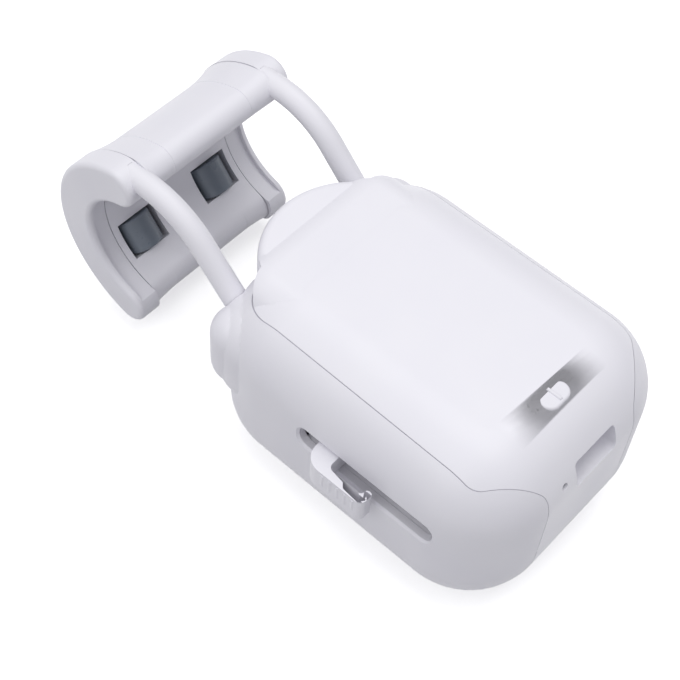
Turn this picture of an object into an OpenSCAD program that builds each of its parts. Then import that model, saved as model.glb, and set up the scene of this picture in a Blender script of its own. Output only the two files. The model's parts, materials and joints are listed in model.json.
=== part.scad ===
// Curtain robot: a motor unit that hangs from a curtain rod by a hook on two arms.
// It lies on its back: +Z is the front, +Y points to the hook, the rod runs along X.
// The origin is the middle of the flat back face.

/* [Body] */
// Width of the motor unit
body_w = 60; // [58:0.5:66]
// Length of the motor unit, without the hook
body_l = 76; // [75:0.5:84]
// Depth of the motor unit, back to front
body_d = 47; // [46:0.5:52]
// Radius of the corners, seen from the front
plan_r = 17; // [16.5:0.5:18]
// Radius of the front edge
front_r = 15.5; // [12:0.5:16]
// Radius of the back edge
back_r = 16; // [12:0.5:16]
// Wall of both shells
wall = 2; // [1.6:0.1:2.4]
// Line between the front cover and the rear housing
seam = 0.3; // [0.2:0.05:0.5]

/* [Front cover] */
// Distance from the body's outline to the cover's corners at the hook end
cover_margin = 1.2; // [1:0.1:2]
// How much narrower the cover is near the bottom end, on each side
cover_taper = 3; // [2:0.1:4]
// Half width of the apron on the bottom end
apron_hw = 12.6; // [11:0.2:14]
// Height of the apron's lower edge above the back
apron_z = 9; // [6:0.5:12]
// Distance from the hook end to the cover's top edge
cover_inset = 4.6; // [4:0.2:6]
// How much wider than the tyre the wheel dome is, on the radius
dome_grow = 5; // [4:0.1:5.5]
// How far the dome's top lies below the front
dome_drop = 3.2; // [2.4:0.1:3.6]
// How far the dome stands past the hook end
dome_over = 3.8; // [2:0.2:4.5]

/* [Drive] */
// Radius of the tyre
tyre_r = 14.5; // [13:0.1:14.5]
// Space between the tyre and an arm
tyre_gap = 1.8; // [1.4:0.1:3]
// Width of the tyre
tyre_w = 16; // [10:0.5:16]
// How far the tyre stands past the hook end
tyre_over = 5.3; // [4.5:0.1:6]
// Gear module
gear_m = 0.7; // [0.6:0.05:0.7]
// Teeth of the motor pinion and of the wheel gear
small_teeth = 16; // [14:2:18]
// Teeth of the idler gear
idler_teeth = 30; // [26:2:32]
// Play between meshing teeth
backlash = 0.16; // [0.12:0.02:0.2]
// Height of the gears
gear_h = 4; // [3:0.5:4]
// Radius of the wheel's axle
axle_r = 2; // [1.5:0.1:2.2]
// Running clearance of pins and bushes, on the radius
run_fit = 0.05; // [0.02:0.01:0.1]
// Radius of the geared motor
motor_r = 12; // [10:0.5:12]
// Height of the geared motor
motor_h = 15; // [12:0.5:16]

/* [Hook] */
// Distance from the hook end to the rod's axis
hook_over = 23.3; // [22:0.1:26]
// Depth of the rod's axis under the front
hook_depth = 18; // [17:0.1:19]
// Width of an end cap
cap_w = 5.5; // [5:0.1:6]
// Inner radius of the liner between the caps
liner_r = 17.1; // [16.5:0.1:18]
// How far the end caps stand inside the liner
cap_lip = 2.6; // [2:0.1:3]
// Wall of the hook's outer shell
shell_wall = 1.5; // [1.3:0.1:2]
// How far the end caps stand outside the shell's middle
cap_step = 1.2; // [0.8:0.1:1.6]
// Radius of a roller
roller_r = 4; // [3.6:0.1:4]
// Length of a roller
roller_len = 7.6; // [6:0.1:8]
// How far the rollers stand inside the liner
roller_proud = 3.6; // [3:0.1:4]
// Distance of a roller's middle from the end cap
roller_in = 6.8; // [6:0.1:7.5]
// Angle of a roller to the hook's middle line
roller_angle = 40; // [38:1:44]
// Radius of a roller's pin
pin_r = 0.8; // [0.6:0.05:1]

/* [Arms] */
// Radius of an arm
arm_r = 2.6; // [2.2:0.1:2.8]
// How far an arm's middle lies inside its end cap
arm_in_cap = 1.1; // [0.8:0.1:1.4]
// How far the arms' level stretch lies below the rod's axis
arm_drop = 1.15; // [0.5:0.05:2]
// Bend radius of an arm around the rod
arm_bend = 20; // [19:0.5:20.5]
// Bend radius of an arm inside the body
arm_inner_bend = 9; // [8:0.5:10]

/* [Latches] */
// Lower end of the side slot
slot_y0 = -23.8; // [-25:0.1:-22]
// Upper end of the side slot
slot_y1 = 9.8; // [9.4:0.1:11]
// Width of the side slot
slot_h = 5.5; // [5:0.1:6]
// Lower end of a latch grip
latch_y0 = -10.5; // [-11:0.1:-9]
// Upper end of a latch grip
latch_y1 = 4.5; // [4:0.1:5]
// How far a latch grip stands out of the flank
latch_out = 4.6; // [4:0.1:5.5]
// Thickness of a latch grip's bar
latch_bar = 1.8; // [1.4:0.1:2]
// Width of a latch's prong at the hook end
latch_prong = 5; // [4:0.1:5.5]
// How far a latch is pressed in to let the rack go
latch_press = 1.2; // [0.8:0.1:1.3]
// Spacing of the rack's teeth
rack_pitch = 2; // [1.6:0.1:2.2]
// Depth of the rack's teeth
rack_depth = 1.2; // [0.8:0.1:1.2]

/* [Controls] */
// Distance of the power slide from the bottom end
switch_from_end = 11.9; // [11.5:0.1:13]
// Length of the power slide's recess
switch_len = 11.2; // [10.5:0.1:12]
// Width of the power slide's recess
switch_wid = 5.2; // [4.8:0.1:5.6]
// Length of the power slide's knob
knob_len = 6.8; // [6:0.1:7]
// Play around the knob
knob_play = 0.35; // [0.3:0.05:0.5]
// Width of the charging recess
port_w = 12.4; // [12:0.1:12.8]
// Height of the charging recess
port_h = 6.3; // [6:0.1:6.6]
// Distance of the charging recess from the middle
port_x = 1.4; // [0:0.1:1.8]
// Depth of the charging recess under the front
port_drop = 11.2; // [10.8:0.1:11.6]
// Depth of the charging recess's floor from the bottom end
port_depth = 4.8; // [4.4:0.1:5]
// Distance of the reset hole from the middle
reset_x = 8.4; // [8.3:0.1:8.8]
// Radius of the reset hole
reset_r = 0.8; // [0.6:0.05:0.9]

/* [Hidden] */
$fn = 64;

// Play between pieces that are fixed together, and between pieces that slide.
fit = 0.1;
slide_fit = 0.3;
overcut = 1;
far = 200;

// Body.
end_y = body_l / 2;
flank_x = body_w / 2;
core_w = flank_x - plan_r;
core_l = end_y - plan_r;
inner_x = flank_x - wall;
cover_top_y = end_y - cover_inset;
cover_top_hw = core_w + sqrt(pow(plan_r, 2) - pow(cover_top_y - core_l, 2)) - cover_margin;
cover_low_hw = cover_top_hw - cover_taper;
cover_low_in = 11;
apron_in = 1.4;
apron_over = 4;
cover_top_r = 9;
cover_low_r = 6;
apron_r = 5;

// The rod's axis, the arms' level stretch and the slot beside it.
hook_y = end_y + hook_over;
hook_z = body_d - hook_depth;
arm_x = tyre_r + tyre_gap + arm_r;
arm_z = hook_z - arm_drop;
slot_z0 = arm_z - slot_h / 2;
slot_z1 = arm_z + slot_h / 2;

// Dome over the wheel.
dome_r = tyre_r + dome_grow;
dome_z = body_d - dome_drop;
dome_y = end_y + dome_over - dome_r;
dome_h = 5.6;
dome_base_z = dome_z - dome_h;
dome_edge = 2.4;

// Drive train, stacked along Z.
wheel_y = end_y + tyre_over - tyre_r;
tyre_z0 = hook_z - tyre_w / 2;
tyre_z1 = hook_z + tyre_w / 2;
tyre_t = 2.4;
tyre_room = 0.8;
tread_w = 1;
tread_depth = 0.6;
hub_r = tyre_r - tyre_t;
hub_rim = 1.6;
hub_boss = 2;
hub_dish = 5;
plate_t = 1.5;
plate_gap = 1.2;
plate_z1 = tyre_z0 - plate_gap;
plate_z0 = plate_z1 - plate_t;
gear_gap = 1;
gear_z1 = plate_z0 - gear_gap;
gear_z0 = gear_z1 - gear_h;
mesh_dist = gear_m * (small_teeth + idler_teeth) / 2;
idler_y = wheel_y - mesh_dist;
motor_y = idler_y - mesh_dist;
motor_cap_h = 1;
motor_cap_r = 4.8;
bush_r = 4.5;
bush_h = 2.5;
bush_wall = 1.4;
bush_gap = 0.4;
lower_bush_z1 = gear_z0 - bush_gap;
axle_room = 0.5;
axle_pit = 1.5;
bridge_gap = 0.6;
bridge_z0 = tyre_z1 + bridge_gap;
bridge_t = 2.5;
bridge_post_r = 2.4;
bridge_post_x = 8;
bridge_lip = 0.3;
bridge_nose = 2.4;
bridge_nose_r = 4;
bridge_post_gap = 0.5;
bridge_post_y = motor_y + motor_r + bridge_post_r + bridge_post_gap;
bridge_y0 = bridge_post_y - bridge_post_r - bridge_lip;
screw_r = 1.2;
screw_play = 0.2;
screw_head_r = 2.2;
screw_head_h = 0.8;
screw_grip = 6;
screw_pit = 7;
idler_pin_r = 1.5;
idler_flange = 1;
idler_flange_t = 0.6;
motor_shaft_r = 1.25;
shaft_room = 0.8;

// Rack inside the flank, then the carriage, rail and latch beside it.
rack_w = 3.8;
rack_t = 1.9;
rack_x = [inner_x - rack_w, inner_x];
rack_z = [slot_z0 - fit - rack_t, slot_z0 - fit];
rack_over = 1;
rack_lean = 0.8;
pawl_t = 1.6;
pawl_x = [rack_x[0] - slide_fit - pawl_t, rack_x[0] - slide_fit];
carriage_wall = 1.1;
carriage_hh = 3.6;
carriage_top_y = 20;
carriage_x = [arm_x - arm_r - carriage_wall, pawl_x[0] + slide_fit];
carriage_y = [latch_y0, carriage_top_y];
carriage_z = [arm_z - carriage_hh, arm_z + carriage_hh];
latch_play = 0.35;
latch_z = [slot_z0 + latch_play, slot_z1 - latch_play];
stem_y = [latch_y1 - latch_prong, latch_y1];
spring_len = 2.4;
stem_root = 0.9;
stem_x0 = pawl_x[0] - stem_root;
stem_pocket_x = stem_x0 - spring_len;
spring_r = 1.3;
spring_wire_r = 0.22;
spring_play = 0.05;
spring_turns = 3.5;
pawl_in = 1.2;
pawl_w = 1.8;
pawl_y = [stem_y[0] + pawl_in, stem_y[0] + pawl_in + pawl_w];
pawl_play = 0.2;
pawl_root = 0.5;
latch_tip = 1.6;
latch_tip_w = 1.5;
latch_inner_r = 0.8;
latch_tip_r = 0.6;
latch_low_r = 1.2;
latch_top_r = 3.4;
rail_w = 2;
rail_in = 2.2;
rail_low_y = -22;
rail_top_y = 21;
rail_x = [carriage_x[0] + rail_in, carriage_x[0] + rail_in + rail_w];

// Plate that carries the gears, between the rails.
rail_gap = 2;
plate_hw = rail_x[0] - rail_gap;
plate_post_r = 2.6;
plate_post_in = 2.8;
plate_post_x = plate_hw - plate_post_in;
plate_post_low = 14;
plate_post_top = 9.5;
plate_post_ys = [motor_y - plate_post_low, wheel_y - plate_post_top];
plate_low = 4;
plate_top = 5.4;
plate_low_r = 3;
plate_top_r = 4;

// Screws that join the cover to the housing.
joint_in = 4;
joint_from_end = 12.2;
joint_screw = [cover_low_hw - joint_in, -end_y + joint_from_end];
joint_post_r = 2.7;
joint_collar = 0.6;
joint_split_z = 14;
joint_head_z = 5;
joint_grip = 9;
joint_pit = 12;

// Charging socket: width, depth and height.
socket = [9, 7.4, 3.3];
socket_wall = 0.4;
socket_back = 1.5;
socket_tongue = [6.4, 0.7];
socket_seat = 3;
port_z = body_d - port_drop;

// Battery under the gears, circuit board under the cover.
battery_gap = 0.5;
battery_seat = 0.2;
battery_z = wall + battery_seat;
battery_top_gap = 3.6;
battery_l = 38;
battery_y = -3;
battery = [2 * (plate_post_x - plate_post_r - battery_gap), battery_l, gear_z0 - battery_top_gap - battery_z];
battery_r = 2;
board_t = 1.6;
board_gap = 1.2;
board_from_end = 6.2;
board_from_bridge = 5.6;
board_hw = joint_screw[0] - joint_post_r - board_gap;
board_ys = [-end_y + board_from_end, bridge_y0 - board_from_bridge];
board_y = (board_ys[0] + board_ys[1]) / 2;
board_z0 = port_z + socket[2] / 2;
board_z1 = board_z0 + board_t;
board_post_r = 2;
board_hole_r = 0.8;
board_post_in = 2.9;
board_post_low = 6;
board_post_top = 13;
board_post_x = board_hw - board_post_in;
board_post_ys = [board_y - board_post_low, board_y + board_post_top];

// Shoulder bulges at the hook end.
shoulder_r = 5;
shoulder_out = 4.3;
shoulder_in = 5.6;
shoulder_low = 11;
shoulder_top = 2;
shoulder_x = arm_x + shoulder_out;
shoulder_y = end_y - shoulder_in;
shoulder_z = [hook_z - shoulder_low, hook_z + shoulder_top];

// Hook.
cap_x = arm_x - arm_in_cap;
hook_hw = cap_x + cap_w;
cap_in_r = liner_r - cap_lip;
roller_axis_r = liner_r - roller_proud + roller_r;
roller_x = cap_x - roller_in;
shell_in_r = roller_axis_r + roller_r;
shell_out_r = shell_in_r + shell_wall;
cap_out_r = shell_out_r + cap_step;
mouth_over = 1.6;
nose_over = 5.6;
lip_over = 0.9;
hook_cut_y = hook_y + mouth_over;
cap_nose_y = hook_y + nose_over;
cap_mid_r = (cap_in_r + cap_out_r) / 2;
cap_nose_r = (cap_out_r - cap_in_r) / 2;
cap_nose_z = hook_z + sqrt(pow(cap_mid_r, 2) - pow(cap_nose_y - hook_y, 2));
cap_lip_y = hook_y + lip_over;
cap_edge = 2;
cap_rim = 0.8;
ring_gap = 0.2;
shell_x = cap_x - ring_gap;
waist_x = roller_x;
waist_run = 3;
waist_rise = 0.25;
flare_gap = 0.3;
window_play = 1;
window_w = 2 * (roller_r + window_play);
window_l = roller_len + 3 * slide_fit;
pin_over = 2.5;
pin_len = roller_len + 2 * pin_over;

// Arms in the YZ plane: along the rod's top, round it, down at 45 degrees, then level inside.
diag = sqrt(0.5);
arm_tip_over = 5;
arm_turn_back = 0.8;
arm_tip_y = hook_y + arm_tip_over;
arm_tip_z = cap_nose_z + cap_nose_r - arm_r;
arm_turn = [hook_y - arm_turn_back, arm_tip_z - arm_bend];
arm_slant_top = arm_turn + arm_bend * [-diag, diag];
arm_rise = arm_slant_top[1] - arm_z - arm_inner_bend * (1 - diag);
arm_slant_low = arm_slant_top - arm_rise * [1, 1];
arm_inner_turn = arm_slant_low + arm_inner_bend * [-diag, diag];
arm_end_y = 8;

// Controls.
switch_y = -end_y + switch_from_end;
knob_wid = switch_wid - 2 * knob_play;
recess_depth = 1.5;
recess_z = body_d - recess_depth;
knob_lift = 0.2;
knob_z = [recess_z + knob_lift, body_d - knob_lift];
knob_stem = [3, 1.8];
knob_root = 0.2;
ridge_t = 0.7;
ridge_h = 0.35;
ridge_in = 0.4;
switch_body = [8.8, 4];
recess_wall = 2.1;
switch_top_z = recess_z - recess_wall;
knob_slot = [7, 2.4];
port_floor_y = -end_y + port_depth;
port_frame = 1.4;
port_back = 1.2;
reset_rise = 0.6;
reset_z = port_z + reset_rise;
reset_body = [4, 2.6, 3.2];
reset_gap = 0.6;
plunger_r = 1.2;
plunger_wall = 0.9;
plunger_tip = 1.6;
plunger_in = 0.8;
plunger_l = 2.2;
plunger_y = [-end_y + wall + plunger_in, -end_y + wall + plunger_in + plunger_l];

// Points of an arc about a centre.
function arc(c, r, a0, a1, n = 8) =
    [for (i = [0 : n]) let (a = a0 + (a1 - a0) * i / n) c + r * [cos(a), sin(a)]];

// Outline through corners [x, y, r], each rounded by its own radius.
function unit(v) = v / norm(v);
function corner_arc(a, b, c, r, n) =
    let (u = unit(a - b), v = unit(c - b), half = acos(u * v) / 2, d = r / tan(half),
         m = b + unit(u + v) * r / sin(half), s = b + u * d - m, e = b + v * d - m,
         a0 = atan2(s[1], s[0]), turn = atan2(e[1], e[0]) - a0,
         sweep = turn > 180 ? turn - 360 : turn < -180 ? turn + 360 : turn)
    [for (i = [0 : n]) m + r * [cos(a0 + sweep * i / n), sin(a0 + sweep * i / n)]];
function rounded(p, n = 6) = [
    for (i = [0 : len(p) - 1])
        let (a = p[(i + len(p) - 1) % len(p)], b = p[i], c = p[(i + 1) % len(p)])
        each b[2] > 0 ? corner_arc([a[0], a[1]], [b[0], b[1]], [c[0], c[1]], b[2], n) : [[b[0], b[1]]]
];

// Half section of the body about the corner's axis: flat back, two round edges, flat front.
function edge_section(inset) =
    let (r = plan_r - inset, f = front_r - inset, b = back_r - inset, z1 = body_d - inset)
    concat([[0, inset]], arc([r - b, inset + b], b, -90, 0), arc([r - f, z1 - f], f, 0, 90), [[0, z1]]);

// Faces of a closed tube whose points are given ring by ring.
function tube_faces(rings, sides) = concat(
    [for (i = [0 : rings - 2], k = [0 : sides - 1])
        let (a = i * sides + k, b = i * sides + (k + 1) % sides)
        each [[a, a + sides, b], [b, a + sides, b + sides]]],
    [for (k = [1 : sides - 2])
        let (last = (rings - 1) * sides)
        each [[0, k, k + 1], [last, last + k + 1, last + k]]]);

// The two ends of a length about its middle.
function span(middle, l) = [middle - l / 2, middle + l / 2];

module box(x, y, z) {
    translate([x[0], y[0], z[0]]) cube([x[1] - x[0], y[1] - y[0], z[1] - z[0]]);
}

module rod_x(r, x, y, z) {
    translate([x[0], y, z]) rotate([0, 90, 0]) cylinder(r = r, h = x[1] - x[0]);
}

module rod_y(r, x, y, z) {
    translate([x, y[1], z]) rotate([90, 0, 0]) cylinder(r = r, h = y[1] - y[0]);
}

module rod_z(r, x, y, z) {
    translate([x, y, z[0]]) cylinder(r = r, h = z[1] - z[0]);
}

module both_sides() {
    children();
    mirror([1, 0, 0]) children();
}

// The body's form, inset by a wall or not.
module pebble(inset) {
    p = edge_section(inset);
    for (side = [0, 1]) {
        mirror([side, 0, 0]) {
            translate([core_w, core_l, 0]) rotate([90, 0, 0]) linear_extrude(2 * core_l) polygon(p);
            translate([core_w, core_l, 0]) rotate_extrude(angle = 90) polygon(p);
            translate([core_w, -core_l, 0]) rotate([0, 0, -90]) rotate_extrude(angle = 90) polygon(p);
        }
        mirror([0, side, 0]) translate([-core_w, core_l, 0])
            rotate([90, 0, 90]) linear_extrude(2 * core_w) polygon(p);
    }
    translate([-core_w, -core_l, inset]) cube([2 * core_w, 2 * core_l, body_d - 2 * inset]);
}

// The cover's outline from the front, grown by a gap.
module cover_outline(grow) {
    right = [
        [cover_top_hw + grow, cover_top_y + grow, cover_top_r],
        [cover_low_hw + grow, -end_y + cover_low_in, cover_low_r],
        [apron_hw + grow, -end_y + apron_in, apron_r],
        [apron_hw + grow, -end_y - apron_over, 0]
    ];
    left = [for (i = [3 : -1 : 0]) [-right[i][0], right[i][1], right[i][2]]];
    polygon(rounded(concat(right, left)));
}

module cover_prism(grow) {
    translate([0, 0, apron_z - grow]) linear_extrude(far) cover_outline(grow);
}

// The dome over the drive wheel, grown by a gap.
module dome_form(grow) {
    r = dome_r + grow;
    z = dome_z + grow;
    p = concat([[0, dome_base_z - grow], [r, dome_base_z - grow]],
        arc([r - dome_edge, z - dome_edge], dome_edge, 0, 90, 5), [[0, z]]);
    translate([0, dome_y, 0]) rotate_extrude() polygon(p);
}

// Places its children in the YZ plane: their x and y become Y and Z, their z becomes X.
module in_yz(x, y, z) {
    translate([x, y, z]) rotate([90, 0, 90]) children();
}

// An arm's middle line as [y, z, heading], from inside the body to the hook.
arm_path = concat(
    [[arm_end_y, arm_z, 0]],
    [for (i = [0 : 6]) let (h = 45 * i / 6)
        [arm_inner_turn[0] + arm_inner_bend * sin(h), arm_inner_turn[1] - arm_inner_bend * cos(h), h]],
    [for (i = [0 : 9]) let (h = 45 - 45 * i / 9)
        [arm_turn[0] - arm_bend * sin(h), arm_turn[1] + arm_bend * cos(h), h]],
    [[arm_tip_y, arm_tip_z, 0]]);

// An arm as one round bar swept along its line.
module arm() {
    sides = 20;
    rings = len(arm_path);
    p = [for (c = arm_path, k = [0 : sides - 1])
        let (w = 360 * k / sides)
        [arm_x + arm_r * sin(w), c[0] - arm_r * cos(w) * sin(c[2]), c[1] + arm_r * cos(w) * cos(c[2])]];
    polyhedron(p, tube_faces(rings, sides));
}

// Slanted hole for an arm through the hook end.
module arm_tunnel() {
    translate([arm_x, arm_slant_low[0], arm_slant_low[1]]) rotate([-45, 0, 0])
        translate([0, 0, -arm_r]) cylinder(r = arm_r + slide_fit, h = arm_rise / diag);
}

// Bulge of the housing beside an arm, at the corner of the hook end.
module shoulder_bulge() {
    rod_z(shoulder_r, shoulder_x, shoulder_y, shoulder_z);
    for (z = shoulder_z) translate([shoulder_x, shoulder_y, z]) sphere(shoulder_r);
}

module stadium(l, w) {
    square([l - w, w], center = true);
    for (s = [-1, 1]) translate([s * (l - w) / 2, 0]) circle(w / 2);
}

// A screw that points up, with its head's seat at the origin.
module screw(l) {
    cylinder(r = screw_r, h = l);
    translate([0, 0, -screw_head_h]) cylinder(r = screw_head_r, h = screw_head_h);
}

// Rear housing: the back, both flanks and the hook end.
module housing_skin() {
    difference() {
        union() {
            pebble(0);
            both_sides() shoulder_bulge();
        }
        pebble(wall);
        cover_prism(seam);
        rod_z(tyre_r + tyre_room, 0, wheel_y, [tyre_z0 - tyre_room, body_d + overcut]);
        rod_z(dome_r + seam, 0, dome_y, [tyre_z1, body_d + overcut]);
        both_sides() {
            arm_tunnel();
            box([inner_x - overcut, flank_x + overcut], [slot_y0, slot_y1], [slot_z0, slot_z1]);
        }
    }
}

// Posts and rails that stand on the back wall.
module housing_posts() {
    rod_z(bush_r + bush_wall, 0, wheel_y, [0, lower_bush_z1]);
    both_sides() {
        for (y = plate_post_ys) rod_z(plate_post_r, plate_post_x, y, [0, plate_z0]);
        rod_z(joint_post_r + joint_collar, joint_screw[0], joint_screw[1], [0, joint_split_z]);
        box(rail_x, [rail_low_y, rail_top_y], [0, carriage_z[0] - slide_fit]);
    }
}

module rear_housing() {
    color("white") difference() {
        union() {
            housing_skin();
            intersection() {
                pebble(wall / 2);
                housing_posts();
            }
        }
        rod_z(bush_r, 0, wheel_y, [lower_bush_z1 - bush_h, plate_z0]);
        rod_z(axle_r + axle_room, 0, wheel_y, [lower_bush_z1 - bush_h - axle_pit, plate_z0]);
        both_sides() {
            for (y = plate_post_ys)
                rod_z(screw_r, plate_post_x, y, [plate_z0 - screw_pit, plate_z0 + overcut]);
            rod_z(screw_r + screw_play, joint_screw[0], joint_screw[1], [-overcut, joint_split_z + overcut]);
            rod_z(screw_head_r + slide_fit, joint_screw[0], joint_screw[1], [-overcut, joint_head_z]);
        }
    }
}

// Posts, charging recess and reset guide on the inside of the front cover.
module cover_posts() {
    both_sides() {
        rod_z(joint_post_r, joint_screw[0], joint_screw[1], [joint_split_z, body_d]);
        for (y = board_post_ys) rod_z(board_post_r, board_post_x, y, [board_z1, body_d]);
    }
    box(span(port_x, port_w + 2 * port_frame), [-end_y, port_floor_y + port_back],
        span(port_z, port_h + 2 * port_frame));
    rod_y(plunger_r + plunger_wall, -reset_x, [-end_y, plunger_y[1] - reset_gap], reset_z);
}

// Front cover: the front, the dome over the wheel and the apron on the bottom end.
module front_cover() {
    color("whitesmoke") difference() {
        union() {
            difference() {
                union() {
                    intersection() {
                        pebble(0);
                        cover_prism(0);
                    }
                    dome_form(0);
                }
                pebble(wall);
                rod_z(dome_r - wall, 0, dome_y, [dome_base_z - overcut, dome_z - wall]);
            }
            intersection() {
                pebble(wall / 2);
                cover_posts();
            }
        }
        box(span(port_x, port_w), [-end_y - overcut, port_floor_y], span(port_z, port_h));
        box(span(port_x, socket[0] + 2 * fit), [-end_y, port_floor_y + socket_seat],
            span(port_z, socket[2] + 2 * fit));
        rod_y(reset_r, -reset_x, [-end_y - overcut, 0], reset_z);
        rod_y(plunger_r + run_fit, -reset_x, [plunger_y[0] - slide_fit, 0], reset_z);
        translate([0, switch_y, recess_z]) linear_extrude(far) stadium(switch_len, switch_wid);
        translate([0, switch_y, body_d / 2]) linear_extrude(far) square(knob_slot, center = true);
        both_sides() rod_z(screw_r, joint_screw[0], joint_screw[1], [0, joint_split_z + joint_pit]);
    }
}

module cover_screws() {
    color("silver") both_sides() translate([joint_screw[0], joint_screw[1], joint_head_z])
        screw(joint_split_z + joint_grip - joint_head_z);
}

// Toothed rack inside a flank, its teeth towards the middle and its back on the wall.
module rack() {
    y0 = slot_y0 - rack_over;
    n = floor((slot_y1 - slot_y0 + 2 * rack_over) / rack_pitch);
    y1 = y0 + n * rack_pitch;
    root_x = rack_x[0] + rack_depth;
    teeth = [for (i = [0 : n - 1])
        each [[root_x, y0 + i * rack_pitch], [rack_x[0], y0 + (i + rack_lean) * rack_pitch]]];
    intersection() {
        translate([0, 0, rack_z[0]]) linear_extrude(rack_z[1] - rack_z[0])
            polygon(concat(teeth, [[root_x, y1], [rack_x[1], y1], [rack_x[1], y0]]));
        pebble(wall + fit);
    }
}

module rack_right() {
    color("white") rack();
}

module rack_left() {
    color("white") mirror([1, 0, 0]) rack();
}

module battery_pack() {
    color("steelblue") translate([0, battery_y, battery_z])
        linear_extrude(battery[2]) polygon(rounded([for (c = [[1, 1], [-1, 1], [-1, -1], [1, -1]])
            [c[0] * battery[0] / 2, c[1] * battery[1] / 2, battery_r]]));
}

module circuit_board() {
    color("darkgreen") difference() {
        box([-board_hw, board_hw], board_ys, [board_z0, board_z1]);
        both_sides()
            rod_z(board_hole_r, board_post_x, board_post_ys[0], [board_z0 - overcut, board_z1 + overcut]);
    }
}

module charging_socket() {
    color("silver") translate([port_x, port_floor_y + 0.1, port_z]) rotate([-90, 0, 0]) {
        linear_extrude(socket[1]) difference() {
            stadium(socket[0], socket[2]);
            stadium(socket[0] - 2 * socket_wall, socket[2] - 2 * socket_wall);
        }
        translate([0, 0, socket[1] - socket_back]) linear_extrude(socket_back)
            stadium(socket[0] - socket_wall, socket[2] - socket_wall);
        box(span(0, socket_tongue[0]), span(0, socket_tongue[1]),
            [socket_back / 2, socket[1] - socket_back / 2]);
    }
}

module slide_switch() {
    color("dimgray") box(span(0, switch_body[0]), span(switch_y, switch_body[1]), [board_z1, switch_top_z]);
}

module reset_switch() {
    y = plunger_y[1] + reset_gap;
    color("dimgray")
        box(span(-reset_x, reset_body[0]), [y, y + reset_body[1]], [board_z0 - reset_body[2], board_z0]);
}

// Plate that carries the motor and the idler over the battery.
module gear_plate() {
    y0 = plate_post_ys[0] - plate_low;
    y1 = wheel_y + plate_top;
    z = [plate_z0 - overcut, plate_z1 + overcut];
    color("gray") difference() {
        translate([0, 0, plate_z0]) linear_extrude(plate_t) polygon(rounded([
            [plate_hw, y1, plate_top_r], [-plate_hw, y1, plate_top_r],
            [-plate_hw, y0, plate_low_r], [plate_hw, y0, plate_low_r]]));
        rod_z(axle_r + 2 * axle_room, 0, wheel_y, z);
        rod_z(idler_pin_r, 0, idler_y, z);
        rod_z(motor_shaft_r + shaft_room, 0, motor_y, z);
        both_sides() for (y = plate_post_ys) rod_z(screw_r + screw_play, plate_post_x, y, z);
    }
}

module plate_screws() {
    color("silver") both_sides() for (y = plate_post_ys)
        translate([plate_post_x, y, plate_z1]) mirror([0, 0, 1]) screw(plate_t + screw_grip);
}

// Bridge over the wheel that holds the axle's upper bush.
module wheel_bridge() {
    nose_x = bush_r + bridge_nose;
    nose_y = wheel_y + bush_r + bush_wall;
    foot_x = bridge_post_x + bridge_post_r + bridge_lip;
    color("gray") difference() {
        union() {
            both_sides()
                rod_z(bridge_post_r, bridge_post_x, bridge_post_y, [plate_z1, bridge_z0 + bridge_t / 2]);
            translate([0, 0, bridge_z0]) linear_extrude(bridge_t) polygon(rounded([
                [nose_x, nose_y, bridge_nose_r], [-nose_x, nose_y, bridge_nose_r],
                [-foot_x, bridge_y0, bridge_post_r], [foot_x, bridge_y0, bridge_post_r]]));
        }
        rod_z(bush_r, 0, wheel_y, [bridge_z0 - overcut, bridge_z0 + bridge_t + overcut]);
    }
}

module gear_motor() {
    color("silver") {
        rod_z(motor_r, 0, motor_y, [plate_z1, plate_z1 + motor_h - motor_cap_h]);
        rod_z(motor_cap_r, 0, motor_y, [plate_z1 + motor_h - 2 * motor_cap_h, plate_z1 + motor_h]);
    }
}

// Spur gear with involute flanks.
function inv_angle(r, base) = let (t = sqrt(max(0, pow(r / base, 2) - 1))) t * 180 / PI - atan(t);
function flank_angle(r, rp, base, teeth) =
    90 / teeth - backlash / 2 / rp * 90 / PI + inv_angle(rp, base) - inv_angle(max(r, base), base);
function tooth(teeth, k) =
    let (rp = gear_m * teeth / 2, base = rp * cos(20), ra = rp + gear_m, rf = rp - 1.25 * gear_m,
         low = max(base, rf), last = 4,
         rs = [rf, for (i = [0 : last]) low + (ra - low) * i / last], c = 360 * k / teeth)
    concat(
        [for (r = rs) let (a = c - flank_angle(r, rp, base, teeth)) r * [cos(a), sin(a)]],
        [for (i = [len(rs) - 1 : -1 : 0])
            let (a = c + flank_angle(rs[i], rp, base, teeth)) rs[i] * [cos(a), sin(a)]]);

// Gear whose tooth, or gap, faces its neighbours along Y. The number of teeth is even.
module spur_gear(teeth, bore, gap = false) {
    difference() {
        rotate(90 + (gap ? 180 / teeth : 0)) linear_extrude(gear_h)
            polygon([for (k = [0 : teeth - 1]) each tooth(teeth, k)]);
        translate([0, 0, -overcut]) cylinder(r = bore, h = gear_h + 2 * overcut);
    }
}

// Pinion on the motor's output shaft, which turns with it.
module motor_pinion() {
    color("goldenrod") {
        translate([0, motor_y, gear_z0]) spur_gear(small_teeth, motor_shaft_r / 2);
        rod_z(motor_shaft_r, 0, motor_y, [gear_z0, plate_z1 - fit]);
    }
}

module idler_gear() {
    color("ivory") translate([0, idler_y, gear_z0]) spur_gear(idler_teeth, idler_pin_r + run_fit, true);
}

module idler_pin() {
    color("silver") {
        rod_z(idler_pin_r, 0, idler_y, [gear_z0 - 2 * slide_fit, plate_z1]);
        rod_z(idler_pin_r + idler_flange, 0, idler_y,
            [gear_z0 - slide_fit - idler_flange_t, gear_z0 - slide_fit]);
    }
}

module drive_axle() {
    color("silver") rod_z(axle_r, 0, wheel_y, [lower_bush_z1 - bush_h, bridge_z0 + bridge_t]);
}

module wheel_gear() {
    color("ivory") translate([0, wheel_y, gear_z0]) spur_gear(small_teeth, axle_r);
}

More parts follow.
